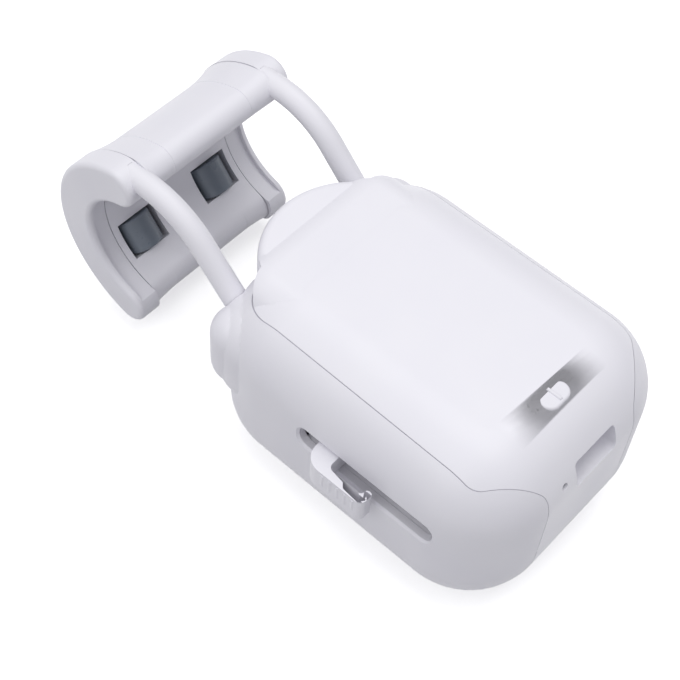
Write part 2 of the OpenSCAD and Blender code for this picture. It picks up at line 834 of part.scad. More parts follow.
module wheel_hub() {
    color("lightgray") difference() {
        rod_z(hub_r, 0, wheel_y, [tyre_z0, tyre_z1]);
        rod_z(axle_r, 0, wheel_y, [tyre_z0 - overcut, tyre_z1 + overcut]);
        for (z = [[tyre_z0 - overcut, tyre_z0 + hub_dish], [tyre_z1 - hub_dish, tyre_z1 + overcut]])
            difference() {
                rod_z(hub_r - hub_rim, 0, wheel_y, z);
                rod_z(axle_r + hub_boss, 0, wheel_y, [tyre_z0 - 2 * overcut, tyre_z1 + 2 * overcut]);
            }
    }
}

module wheel_tyre() {
    color("dimgray") difference() {
        rod_z(tyre_r, 0, wheel_y, [tyre_z0, tyre_z1]);
        rod_z(hub_r, 0, wheel_y, [tyre_z0 - overcut, tyre_z1 + overcut]);
        for (i = [-1 : 1]) translate([0, wheel_y, hook_z + i * tyre_w / 4])
            rotate_extrude() translate([tyre_r, 0]) square([2 * tread_depth, tread_w], center = true);
    }
}

module bush(z0) {
    difference() {
        rod_z(bush_r, 0, wheel_y, [z0, z0 + bush_h]);
        rod_z(axle_r + run_fit, 0, wheel_y, [z0 - overcut, z0 + bush_h + overcut]);
    }
}

module lower_bush() {
    color("goldenrod") bush(lower_bush_z1 - bush_h);
}

module upper_bush() {
    color("goldenrod") bush(bridge_z0);
}

module arm_right() {
    color("white") arm();
}

module arm_left() {
    color("white") mirror([1, 0, 0]) arm();
}

// Carriage that joins an arm to its latch and slides along the flank.
module carriage() {
    difference() {
        box(carriage_x, carriage_y, carriage_z);
        rod_y(arm_r, arm_x, [arm_end_y, carriage_y[1] + overcut], arm_z);
        box([stem_pocket_x, carriage_x[1] + overcut], [stem_y[0] - slide_fit, stem_y[1] + slide_fit],
            [latch_z[0] - slide_fit, latch_z[1] + slide_fit]);
        box([pawl_x[0] - latch_press - slide_fit, carriage_x[1] + overcut],
            [pawl_y[0] - slide_fit, pawl_y[1] + slide_fit], [carriage_z[0] - overcut, arm_z]);
    }
}

module carriage_right() {
    color("#2a211c") carriage();
}

module carriage_left() {
    color("#2a211c") mirror([1, 0, 0]) carriage();
}

// Thumb latch: a bent grip outside the flank, a stem through the slot and a pawl behind the rack.
module latch() {
    out = flank_x + latch_out;
    bar = out - latch_bar;
    translate([0, 0, latch_z[0]]) linear_extrude(latch_z[1] - latch_z[0])
        polygon(rounded([[stem_x0, stem_y[0], 0], [bar, stem_y[0], latch_inner_r],
            [bar, latch_y0 + latch_tip_w, latch_inner_r],
            [bar - latch_tip, latch_y0 + latch_tip_w, latch_tip_r],
            [bar - latch_tip, latch_y0, latch_tip_r], [out, latch_y0, latch_low_r],
            [out, latch_y1, latch_top_r], [stem_x0, latch_y1, 0]]));
    box(pawl_x, pawl_y, [rack_z[0] + pawl_play, latch_z[0] + pawl_root]);
}

module latch_right() {
    color("white") latch();
}

module latch_left() {
    color("white") mirror([1, 0, 0]) latch();
}

// Coil spring behind a latch's stem, swept along its helix.
module latch_spring() {
    sides = 6;
    rings = ceil(spring_turns * 10);
    l = spring_len - 2 * (spring_wire_r + spring_play);
    p = [for (i = [0 : rings], k = [0 : sides - 1])
        let (a = 360 * spring_turns * i / rings, w = 360 * k / sides, r = spring_r + spring_wire_r * cos(w))
        [stem_pocket_x + spring_play + spring_wire_r * (1 + sin(w)) + l * i / rings,
         (stem_y[0] + stem_y[1]) / 2 + r * cos(a), (latch_z[0] + latch_z[1]) / 2 + r * sin(a)]];
    polyhedron(p, tube_faces(rings + 1, sides));
}

module latch_spring_right() {
    color("silver") latch_spring();
}

module latch_spring_left() {
    color("silver") mirror([1, 0, 0]) latch_spring();
}

// Half ring about the rod's axis from a section of [radius, x] points.
module hook_ring(section) {
    in_yz(0, hook_y, hook_z) rotate(-90) rotate_extrude(angle = 180) polygon(section);
}

// Hook shell: narrower in the middle, flared to the end caps.
module hook_outer_shell() {
    half = [[shell_out_r, 0], [shell_out_r, waist_x], [shell_out_r + waist_rise, waist_x + waist_run],
        [cap_out_r - flare_gap, shell_x]];
    section = concat([[shell_in_r, -shell_x]], [for (i = [3 : -1 : 1]) [half[i][0], -half[i][1]]],
        half, [[shell_in_r, shell_x]]);
    color("white") difference() {
        hook_ring(section);
        box([-far, far], [-far, hook_cut_y], [-far, far]);
        both_sides() rod_y(arm_r + fit, arm_x, [0, arm_tip_y + fit], arm_tip_z);
        for (s = [-1, 1], f = [-1, 1]) roller_frame(s, f) roller_window(roller_r + slide_fit);
    }
}

// Places its children on a roller's axis: the pin lies along Z, the rod's axis lies towards -Y.
module roller_frame(side, front) {
    translate([0, hook_y, hook_z]) rotate([front * roller_angle, 0, 0])
        translate([side * roller_x, roller_axis_r, 0]) children();
}

// Room for a roller, as deep as a distance past its axis.
module roller_window(deep) {
    box(span(0, window_w), [-2 * roller_r, deep], span(0, window_l));
}

module hook_inner_liner() {
    color("white") difference() {
        hook_ring([for (c = [[0, -1], [1, -1], [1, 1], [0, 1]])
            [c[0] > 0 ? shell_in_r - fit : liner_r, c[1] * shell_x]]);
        box([-far, far], [-far, hook_cut_y], [-far, far]);
        both_sides() rod_y(arm_r + fit, arm_x, [0, arm_tip_y + fit], arm_tip_z);
        for (s = [-1, 1], f = [-1, 1]) roller_frame(s, f) {
            roller_window(2 * roller_r);
            translate([0, 0, -pin_len / 2]) cylinder(r = pin_r, h = pin_len);
        }
    }
}

module hook_cap() {
    edge_x = hook_hw - cap_edge;
    ring = concat([[cap_in_r, cap_x], [cap_out_r, cap_x]],
        arc([cap_out_r - cap_edge, edge_x], cap_edge, 0, 90, 5),
        [[cap_in_r + cap_rim, hook_hw], [cap_in_r, hook_hw - cap_rim]]);
    nose = concat([[0, cap_x], [cap_nose_r, cap_x]],
        arc([cap_nose_r - cap_edge, edge_x], cap_edge, 0, 90, 5), [[0, hook_hw]]);
    difference() {
        union() {
            difference() {
                hook_ring(ring);
                box([0, far], [-far, cap_nose_y], [hook_z, far]);
                box([0, far], [-far, cap_lip_y], [-far, hook_z]);
            }
            in_yz(0, cap_nose_y, cap_nose_z) rotate_extrude() polygon(nose);
        }
        rod_y(arm_r, arm_x, [0, arm_tip_y], arm_tip_z);
    }
}

module hook_cap_right() {
    color("white") hook_cap();
}

module hook_cap_left() {
    color("white") mirror([1, 0, 0]) hook_cap();
}

module roller_pins() {
    color("silver") for (s = [-1, 1], f = [-1, 1]) roller_frame(s, f)
        translate([0, 0, -pin_len / 2]) cylinder(r = pin_r, h = pin_len);
}

module roller(side, front) {
    color("slategray") roller_frame(side, front) difference() {
        translate([0, 0, -roller_len / 2]) cylinder(r = roller_r, h = roller_len);
        translate([0, 0, -roller_len]) cylinder(r = pin_r + run_fit, h = 2 * roller_len);
    }
}

// Power slide: an oblong knob with a ridge, and its stem down to the switch.
module power_knob() {
    color("white") translate([0, switch_y, 0]) {
        translate([0, 0, knob_z[0]]) linear_extrude(knob_z[1] - knob_z[0]) stadium(knob_len, knob_wid);
        box(span(0, ridge_t), span(0, knob_wid - 2 * ridge_in), [knob_z[1] - knob_root, knob_z[1] + ridge_h]);
        box(span(0, knob_stem[0]), span(0, knob_stem[1]), [switch_top_z + knob_play / 2, knob_z[0] + knob_root]);
    }
}

module reset_plunger() {
    color("white") {
        rod_y(plunger_r, -reset_x, plunger_y, reset_z);
        rod_y(reset_r - screw_play, -reset_x,
            [plunger_y[0] - plunger_tip, plunger_y[0] + screw_play], reset_z);
    }
}

rear_housing();
front_cover();
cover_screws();
rack_left();
rack_right();
battery_pack();
circuit_board();
charging_socket();
slide_switch();
reset_switch();
gear_plate();
plate_screws();
wheel_bridge();
gear_motor();
motor_pinion();
idler_gear();
idler_pin();
drive_axle();
wheel_hub();
wheel_tyre();
wheel_gear();
lower_bush();
upper_bush();
arm_left();
arm_right();
carriage_left();
carriage_right();
latch_left();
latch_right();
latch_spring_left();
latch_spring_right();
hook_outer_shell();
hook_inner_liner();
hook_cap_left();
hook_cap_right();
roller_pins();
roller(-1, -1);  // roller_back_left
roller(1, -1);  // roller_back_right
roller(-1, 1);  // roller_front_left
roller(1, 1);  // roller_front_right
power_knob();
reset_plunger();
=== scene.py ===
"""Looks of a curtain robot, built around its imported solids.

The motor unit lies on its back: +Z is the front, +Y points to the hook and the rod runs along X.
"""

import json
import logging
import math
from dataclasses import dataclass
from enum import Enum
from typing import Callable, Mapping, Sequence

import bpy
from mathutils import Matrix, Vector


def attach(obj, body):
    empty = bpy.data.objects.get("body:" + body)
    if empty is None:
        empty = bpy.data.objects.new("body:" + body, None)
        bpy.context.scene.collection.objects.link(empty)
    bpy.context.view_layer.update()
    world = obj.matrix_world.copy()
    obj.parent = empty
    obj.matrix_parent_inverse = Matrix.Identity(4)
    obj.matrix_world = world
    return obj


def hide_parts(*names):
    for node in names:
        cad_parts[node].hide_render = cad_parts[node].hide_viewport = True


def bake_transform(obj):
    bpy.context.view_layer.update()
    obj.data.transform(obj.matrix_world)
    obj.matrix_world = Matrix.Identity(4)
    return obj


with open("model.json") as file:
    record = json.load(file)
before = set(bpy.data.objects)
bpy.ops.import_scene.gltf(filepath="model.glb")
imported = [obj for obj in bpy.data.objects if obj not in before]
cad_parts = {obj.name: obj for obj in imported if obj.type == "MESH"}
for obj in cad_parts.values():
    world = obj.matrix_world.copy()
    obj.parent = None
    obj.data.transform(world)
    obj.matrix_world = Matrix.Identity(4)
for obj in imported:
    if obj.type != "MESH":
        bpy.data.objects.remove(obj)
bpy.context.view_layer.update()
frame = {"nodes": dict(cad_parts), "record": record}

LOG = logging.getLogger("curtain_robot")
MM = 0.001
FAR = 200.0
SIDES: dict[str, int] = {"left": -1, "right": 1}

Point = Sequence[float]


class Kind(Enum):
    """What is selected on a mesh in edit mode."""

    EDGE = "EDGE"
    FACE = "FACE"


class Cut(Enum):
    """How one solid acts on another."""

    TAKE = "DIFFERENCE"
    JOIN = "UNION"
    KEEP = "INTERSECT"


def metres(point: Point) -> Vector:
    """Turn a point in millimetres to metres."""
    return Vector(point) * MM


def linear_rgb(code: str) -> tuple[float, float, float, float]:
    """Turn an sRGB hex value to linear colour.

    Args:
        code: Six hex digits after a hash sign.

    Returns:
        Linear red, green, blue and an alpha of 1.
    """
    values = [int(code[i:i + 2], 16) / 255 for i in (1, 3, 5)]
    red, green, blue = (v / 12.92 if v <= 0.04045 else ((v + 0.055) / 1.055) ** 2.4 for v in values)
    return red, green, blue, 1.0


def arc_points(centre: Point, radius: float, start: float, stop: float, steps: int) -> list[Vector]:
    """Sample an arc.

    Args:
        centre: Middle of the arc.
        radius: Radius of the arc.
        start: First angle in degrees.
        stop: Last angle in degrees.
        steps: Number of chords.

    Returns:
        Points from the first angle to the last.
    """
    angles = [math.radians(start + (stop - start) * i / steps) for i in range(steps + 1)]
    return [Vector((centre[0] + radius * math.cos(a), centre[1] + radius * math.sin(a))) for a in angles]


def rounded_outline(corners: Sequence[Point], steps: int = 10) -> list[Vector]:
    """Round each corner of an outline by its own radius.

    Args:
        corners: Corners as x, y and radius.
        steps: Chords in each rounded corner.

    Returns:
        Points of the closed outline.
    """
    outline: list[Vector] = []
    count = len(corners)
    for i, (x, y, radius) in enumerate(corners):
        here = Vector((x, y))
        if radius <= 0:
            outline.append(here)
            continue
        back = (Vector(corners[i - 1][:2]) - here).normalized()
        ahead = (Vector(corners[(i + 1) % count][:2]) - here).normalized()
        half = back.angle(ahead) / 2
        middle = here + (back + ahead).normalized() * radius / math.sin(half)
        first = here + back * radius / math.tan(half) - middle
        last = here + ahead * radius / math.tan(half) - middle
        start = math.degrees(math.atan2(first.y, first.x))
        turn = (math.degrees(math.atan2(last.y, last.x)) - start + 180) % 360 - 180
        outline += arc_points(middle, radius, start, start + turn, steps)
    return outline


def oblong(centre: Point, size: tuple[float, float]) -> list[Vector]:
    """Draw an oblong with round ends along X.

    Args:
        centre: Middle of the oblong.
        size: Length and width.

    Returns:
        Points of the closed outline.
    """
    radius = size[1] / 2
    reach = size[0] / 2 - radius
    right = arc_points((centre[0] + reach, centre[1]), radius, -90, 90, 20)
    return right + arc_points((centre[0] - reach, centre[1]), radius, 90, 270, 20)


def clear_selection() -> None:
    """Leave edit mode and deselect every object."""
    if bpy.context.object is not None and bpy.context.object.mode != "OBJECT":
        bpy.ops.object.mode_set(mode="OBJECT")
    bpy.ops.object.select_all(action="DESELECT")


class Workpiece:
    """One mesh on the bench, shaped with Blender's operators. Sizes are in millimetres."""

    def __init__(self, obj: bpy.types.Object) -> None:
        """Take an object onto the bench."""
        self.obj = obj

    @classmethod
    def _added(cls, name: str) -> "Workpiece":
        """Name the primitive that was just added and put its place into its mesh."""
        obj = bpy.context.object
        obj.name = name
        obj.data.name = name
        bpy.ops.object.transform_apply(location=True, rotation=True, scale=True)
        return cls(obj)

    @classmethod
    def block(cls, name: str, low: Point, high: Point) -> "Workpiece":
        """Add a block between two corners.

        Args:
            name: Name of the object.
            low: Lowest corner.
            high: Highest corner.

        Returns:
            The new block.
        """
        clear_selection()
        a, b = metres(low), metres(high)
        bpy.ops.mesh.primitive_cube_add(size=1.0, location=(a + b) / 2, scale=b - a)
        return cls._added(name)

    @classmethod
    def rod(cls, name: str, radius: float, start: Point, stop: Point, steps: int = 64) -> "Workpiece":
        """Add a round rod between two points.

        Args:
            name: Name of the object.
            radius: Radius of the rod.
            start: Middle of the first end.
            stop: Middle of the last end.
            steps: Number of sides.

        Returns:
            The new rod.
        """
        clear_selection()
        a, b = metres(start), metres(stop)
        turn = (b - a).to_track_quat("Z", "Y").to_euler()
        bpy.ops.mesh.primitive_cylinder_add(
            vertices=steps, radius=radius * MM, depth=(b - a).length, location=(a + b) / 2, rotation=turn)
        return cls._added(name)

    @classmethod
    def sheet(cls, name: str, points: Sequence[Point]) -> "Workpiece":
        """Add one flat face and move its corners into place.

        Args:
            name: Name of the object.
            points: Corners of the face, in order, in three dimensions.

        Returns:
            The new face.
        """
        clear_selection()
        bpy.ops.mesh.primitive_circle_add(vertices=len(points), radius=MM, fill_type="NGON")
        piece = cls._added(name)
        for vertex, point in zip(piece.obj.data.vertices, points):
            vertex.co = metres(point)
        return piece

    @classmethod
    def plate(cls, name: str, outline: Sequence[Point], low: float, high: float) -> "Workpiece":
        """Extrude an outline in the XY plane between two heights.

        Args:
            name: Name of the object.
            outline: Corners as x and y.
            low: Height of the lower face.
            high: Height of the upper face.

        Returns:
            The new plate.
        """
        piece = cls.sheet(name, [(p[0], p[1], low) for p in outline])
        piece.extrude((0, 0, high - low))
        return piece.tidied()

    @classmethod
    def turned(cls, name: str, points: Sequence[Point], centre: Point, axis: Point, steps: int = 96) -> "Workpiece":
        """Spin an outline all the way round an axis.

        Args:
            name: Name of the object.
            points: Corners of half the section, in three dimensions.
            centre: Point on the axis.
            axis: Direction of the axis.
            steps: Number of sides.

        Returns:
            The new turned form.
        """
        piece = cls.sheet(name, points)
        piece.edit_all()
        bpy.ops.mesh.delete(type="ONLY_FACE")
        bpy.ops.mesh.select_all(action="SELECT")
        bpy.ops.mesh.spin(steps=steps, angle=2 * math.pi, center=metres(centre), axis=axis)
        return piece.tidied()

    def activate(self) -> None:
        """Select this piece alone."""
        clear_selection()
        self.obj.select_set(True)
        bpy.context.view_layer.objects.active = self.obj

    def edit_all(self) -> None:
        """Open the mesh in edit mode with all of it selected."""
        self.activate()
        bpy.ops.object.mode_set(mode="EDIT")
        bpy.ops.mesh.select_mode(type="VERT")
        bpy.ops.mesh.select_all(action="SELECT")

    def pick(self, kind: Kind, test: Callable[[Vector, Vector], bool]) -> None:
        """Open the mesh in edit mode with chosen edges or faces selected.

        Args:
            kind: Edges or faces.
            test: Takes an edge's two ends, or a face's middle and normal; places are in millimetres.
        """
        self.activate()
        bpy.ops.object.mode_set(mode="EDIT")
        bpy.ops.mesh.select_mode(type=kind.value)
        bpy.ops.mesh.select_all(action="DESELECT")
        bpy.ops.object.mode_set(mode="OBJECT")
        mesh = self.obj.data
        if kind is Kind.EDGE:
            for edge in mesh.edges:
                first, last = (mesh.vertices[i].co / MM for i in edge.vertices)
                edge.select = test(first, last)
        else:
            for face in mesh.polygons:
                face.select = test(face.center / MM, face.normal)
        bpy.ops.object.mode_set(mode="EDIT")

    def extrude(self, step: Point, times: int = 1) -> None:
        """Extrude the selected face, or the whole sheet, and leave edit mode.

        Args:
            step: Move of the face.
            times: Number of equal stretches.
        """
        if self.obj.mode != "EDIT":
            self.edit_all()
        for _ in range(times):
            bpy.ops.mesh.extrude_region_move(TRANSFORM_OT_translate={"value": metres(step) / times})
        bpy.ops.object.mode_set(mode="OBJECT")

    def bevel(self, radius: float, steps: int, test: Callable[[Vector, Vector], bool]) -> "Workpiece":
        """Round chosen edges.

        Args:
            radius: Radius of the rounding.
            steps: Number of strips.
            test: Takes an edge's two ends in millimetres.

        Returns:
            This piece.
        """
        self.pick(Kind.EDGE, test)
        bpy.ops.mesh.bevel(
            offset=radius * MM, offset_type="OFFSET", segments=steps, profile=0.5, affect="EDGES",
            clamp_overlap=False)
        bpy.ops.object.mode_set(mode="OBJECT")
        return self

    def combine(self, tool: "Workpiece", how: Cut = Cut.TAKE) -> "Workpiece":
        """Cut this piece with another, which is used up.

        Args:
            tool: The other solid.
            how: Take it away, join it or keep what both share.

        Returns:
            This piece.
        """
        self.activate()
        modifier = self.obj.modifiers.new("cut", "BOOLEAN")
        modifier.object = tool.obj
        modifier.operation = how.value
        modifier.solver = "EXACT"
        bpy.ops.object.modifier_apply(modifier=modifier.name)
        bpy.data.meshes.remove(tool.obj.data)
        return self

    def tidied(self, gap: float = 0.002) -> "Workpiece":
        """Merge doubled points and turn every face outwards.

        Args:
            gap: Points closer than this are merged.

        Returns:
            This piece.
        """
        self.edit_all()
        bpy.ops.mesh.remove_doubles(threshold=gap * MM)
        bpy.ops.mesh.normals_make_consistent(inside=False)
        bpy.ops.object.mode_set(mode="OBJECT")
        return self

    def mirrored(self, side: int) -> "Workpiece":
        """Turn a right-hand piece to the side it belongs on.

        Args:
            side: 1 for the right, -1 for the left.

        Returns:
            This piece.
        """
        if side < 0:
            self.edit_all()
            bpy.ops.transform.mirror(constraint_axis=(True, False, False), center_override=(0, 0, 0))
            bpy.ops.mesh.normals_make_consistent(inside=False)
            bpy.ops.object.mode_set(mode="OBJECT")
        return self

    def softened(self, width: float, angle: float = 40.0, steps: int = 2) -> "Workpiece":
        """Round every sharp edge with an applied bevel modifier.

        Args:
            width: Width of the rounding.
            angle: Edges sharper than this many degrees are rounded.
            steps: Number of strips.

        Returns:
            This piece.
        """
        self.activate()
        modifier = self.obj.modifiers.new("soft_edge", "BEVEL")
        modifier.width = width * MM
        modifier.segments = steps
        modifier.limit_method = "ANGLE"
        modifier.angle_limit = math.radians(angle)
        modifier.use_clamp_overlap = True
        bpy.ops.object.modifier_apply(modifier=modifier.name)
        return self

    def smoothed(self, angle: float = 30.0) -> bpy.types.Object:
        """Shade the piece smooth, apart from edges sharper than an angle.

        Args:
            angle: The angle in degrees.

        Returns:
            The finished object.
        """
        self.activate()
        bpy.ops.object.shade_smooth_by_angle(angle=math.radians(angle))
        modifier = self.obj.modifiers.new("even_shade", "WEIGHTED_NORMAL")
        modifier.keep_sharp = True
        bpy.ops.object.modifier_apply(modifier=modifier.name)
        return self.obj


def add_node(tree: bpy.types.NodeTree, kind: str, settings: Mapping[str, object] | None = None,
             inputs: Mapping[str | int, object] | None = None) -> bpy.types.Node:
    """Add a shader node.

    Args:
        tree: Node tree of the material.
        kind: Type of the node.
        settings: Properties of the node.
        inputs: Value or output socket for each input socket.

    Returns:
        The new node.
    """
    node = tree.nodes.new(kind)
    for name, value in (settings or {}).items():
        setattr(node, name, value)
    for name, value in (inputs or {}).items():
        if isinstance(value, bpy.types.NodeSocket):
            tree.links.new(value, node.inputs[name])
        else:
            node.inputs[name].default_value = value
    return node


def per_metre(size_mm: float) -> float:
    """Give the texture scale at which one cell is as large as a size in millimetres."""
    return 1.0 / (size_mm * MM)


@dataclass(frozen=True)
class Finish:
    """A surface: two close colours that drift into each other, uneven gloss and a fine relief.

    Attributes:
        name: Name of the material.
        tint: Main colour as sRGB hex.
        shade: Second colour as sRGB hex.
        drift_mm: Size of the patches of colour and gloss.
        gloss: Lowest and highest roughness.
        grain_mm: Size of one grain of the relief.
        relief_mm: Height of the relief.
        stretch: Stretch of the relief along X, Y and Z; small values draw it out.
        metallic: 1 for bare metal.
        ior: Index of refraction.
    """

    name: str
    tint: str
    shade: str
    drift_mm: float
    gloss: tuple[float, float]
    grain_mm: float
    relief_mm: float
    stretch: tuple[float, float, float] = (1.0, 1.0, 1.0)
    metallic: float = 0.0
    ior: float = 1.5

    def material(self) -> bpy.types.Material:
        """Build the node material, or find it if it is built.

        Returns:
            The material.
        """
        found = bpy.data.materials.get(self.name)
        if found is not None:
            return found
        material = bpy.data.materials.new(self.name)
        material.use_nodes = True
        tree = material.node_tree
        tree.nodes.clear()
        place = add_node(tree, "ShaderNodeTexCoord").outputs["Object"]
        drift = add_node(tree, "ShaderNodeTexNoise", inputs={
            "Vector": place, "Scale": per_metre(self.drift_mm), "Detail": 3.0}).outputs["Fac"]
        colour = add_node(tree, "ShaderNodeMix", {"data_type": "RGBA"}, {
            0: drift, 6: linear_rgb(self.tint), 7: linear_rgb(self.shade)}).outputs[2]
        rough = add_node(tree, "ShaderNodeMapRange", inputs={
            "Value": drift, "From Min": 0.3, "From Max": 0.7,
            "To Min": self.gloss[0], "To Max": self.gloss[1]}).outputs["Result"]
        turned = add_node(tree, "ShaderNodeMapping", inputs={"Vector": place, "Scale": self.stretch}).outputs["Vector"]
        height = self.relief(tree, turned)
        normal = add_node(tree, "ShaderNodeBump", inputs={
            "Strength": 1.0, "Distance": self.relief_mm * MM, "Height": height}).outputs["Normal"]
        shader = add_node(tree, "ShaderNodeBsdfPrincipled", inputs={
            "Base Color": colour, "Roughness": rough, "Normal": normal,
            "Metallic": self.metallic, "IOR": self.ior})
        add_node(tree, "ShaderNodeOutputMaterial", inputs={"Surface": shader.outputs["BSDF"]})
        return material

    def relief(self, tree: bpy.types.NodeTree, place: bpy.types.NodeSocket) -> bpy.types.NodeSocket:
        """Draw the relief that the bump follows.

        Args:
            tree: Node tree of the material.
            place: Coordinates of the surface.

        Returns:
            Height of the surface.
        """
        return add_node(tree, "ShaderNodeTexNoise", inputs={
            "Vector": place, "Scale": per_metre(self.grain_mm), "Detail": 2.0}).outputs["Fac"]


# Moulded ABS with a fine spark-eroded texture: a soft, even white with a broad, weak highlight.
# The grain of the mould is about 0.1 mm; it is drawn at 0.4 mm so that it shows.
SHELL_WHITE = Finish("moulded_abs_shell", "#EFEEF3", "#EBEAF1", 14.0, (0.40, 0.48), 0.4, 0.004, ior=1.53)
# The front cover's ABS is the same resin from a finer mould, a little brighter and smoother.
COVER_WHITE = Finish("moulded_abs_cover", "#F2F1F6", "#EEEDF4", 16.0, (0.34, 0.42), 0.35, 0.003, ior=1.53)
# Flexible nylon of the arms: a milky white with a duller skin.
ARM_WHITE = Finish("moulded_nylon_arm", "#F1F0F5", "#ECEBF1", 8.0, (0.42, 0.52), 0.5, 0.005, ior=1.53)
# Acetal rollers, turned smooth: cool grey with fine marks round the axis.
ROLLER_GREY = Finish("turned_acetal_roller", "#7C848E", "#6F7781", 3.0, (0.26, 0.36), 0.5, 0.004, ior=1.48)
# Glass-filled nylon of the carriages: dark brown and dull; the dark brown also stands in as painted shade for the dark
# inside the side slots.
CARRIAGE_BROWN_AND_SLOT_SHADE = Finish("filled_nylon_carriage_and_slot_shade", "#3A2E28", "#2B221D", 2.0, (0.5, 0.65), 0.3, 0.010, ior=1.53)
# Drawn steel of screws, pins and the axle: fine lines along the draw.
STEEL = Finish("drawn_steel", "#C9CBCE", "#B4B7BB", 2.0, (0.22, 0.34), 0.3, 0.003, (1.0, 1.0, 0.06), metallic=1.0)
# Polished brass of the pinion and the bushes.
BRASS = Finish("machined_brass", "#D2B36A", "#C2A055", 2.0, (0.2, 0.32), 0.25, 0.003, (1.0, 1.0, 0.1), metallic=1.0)
# Shrink wrap of the battery: thin glossy film with long wrinkles.
BATTERY_WRAP = Finish("shrink_wrap", "#3F6EA3", "#386394", 6.0, (0.22, 0.32), 3.0, 0.040, (1.0, 0.25, 1.0))
# Solder mask of the board: glossy green over faint copper.
BOARD_GREEN = Finish("solder_mask", "#1F5B3A", "#184A2F", 1.5, (0.25, 0.4), 1.2, 0.010, ior=1.55)
# Black nylon of the switches; the same material is laid on the walls of the hook's roller pockets as painted shade.
BLACK_NYLON_AND_POCKET_SHADE = Finish("black_nylon_and_pocket_shade", "#26272A", "#1F2023", 2.0, (0.42, 0.55), 0.3, 0.006, ior=1.53)
# Grey ABS of the inner frame and the wheel.
GREY_PLASTIC = Finish("moulded_grey_abs", "#8C9096", "#82868C", 5.0, (0.42, 0.52), 0.4, 0.005, ior=1.53)
# Natural acetal of the gears.
GEAR_PLASTIC = Finish("natural_acetal_gear", "#EDE8DA", "#E4DECC", 3.0, (0.35, 0.45), 0.3, 0.004, ior=1.48)
# Silicone rubber of the tyre: dull, with a sticky, finely pitted skin.
TYRE_RUBBER = Finish("silicone_tyre", "#5A5D62", "#505357", 3.0, (0.62, 0.78), 0.3, 0.012, ior=1.41)

SLOT_FINISHES: dict[str, Finish] = {
    "shell_white": SHELL_WHITE, "cover_white": COVER_WHITE, "arm_white": ARM_WHITE, "steel": STEEL,
    "battery_wrap": BATTERY_WRAP, "board_green": BOARD_GREEN, "black_plastic": BLACK_NYLON_AND_POCKET_SHADE,
    "grey_plastic": GREY_PLASTIC, "brass": BRASS, "gear_plastic": GEAR_PLASTIC, "tyre_rubber": TYRE_RUBBER,
    "carriage_brown": CARRIAGE_BROWN_AND_SLOT_SHADE, "roller_grey": ROLLER_GREY,
}


def dress(obj: bpy.types.Object, finish: Finish) -> None:
    """Give an object one finish all over."""
    obj.data.materials.clear()
    obj.data.materials.append(finish.material())


def stand_in(piece: Workpiece, node: str, body: str, slot: str, angle: float = 30.0) -> bpy.types.Object:
    """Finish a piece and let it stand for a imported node.

    Args:
        piece: The modelled piece.
        node: Name of the node.
        body: Name of the body that carries it.
        slot: Material slot of the record.
        angle: Edges sharper than this stay sharp.

    Returns:
        The finished object.
    """
    obj = piece.smoothed(angle)
    obj.name = f"{node}_form"
    dress(obj, SLOT_FINISHES[slot])
    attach(obj, body)
    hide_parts(node)
    LOG.info("%s: %d faces", obj.name, len(obj.data.polygons))
    return obj


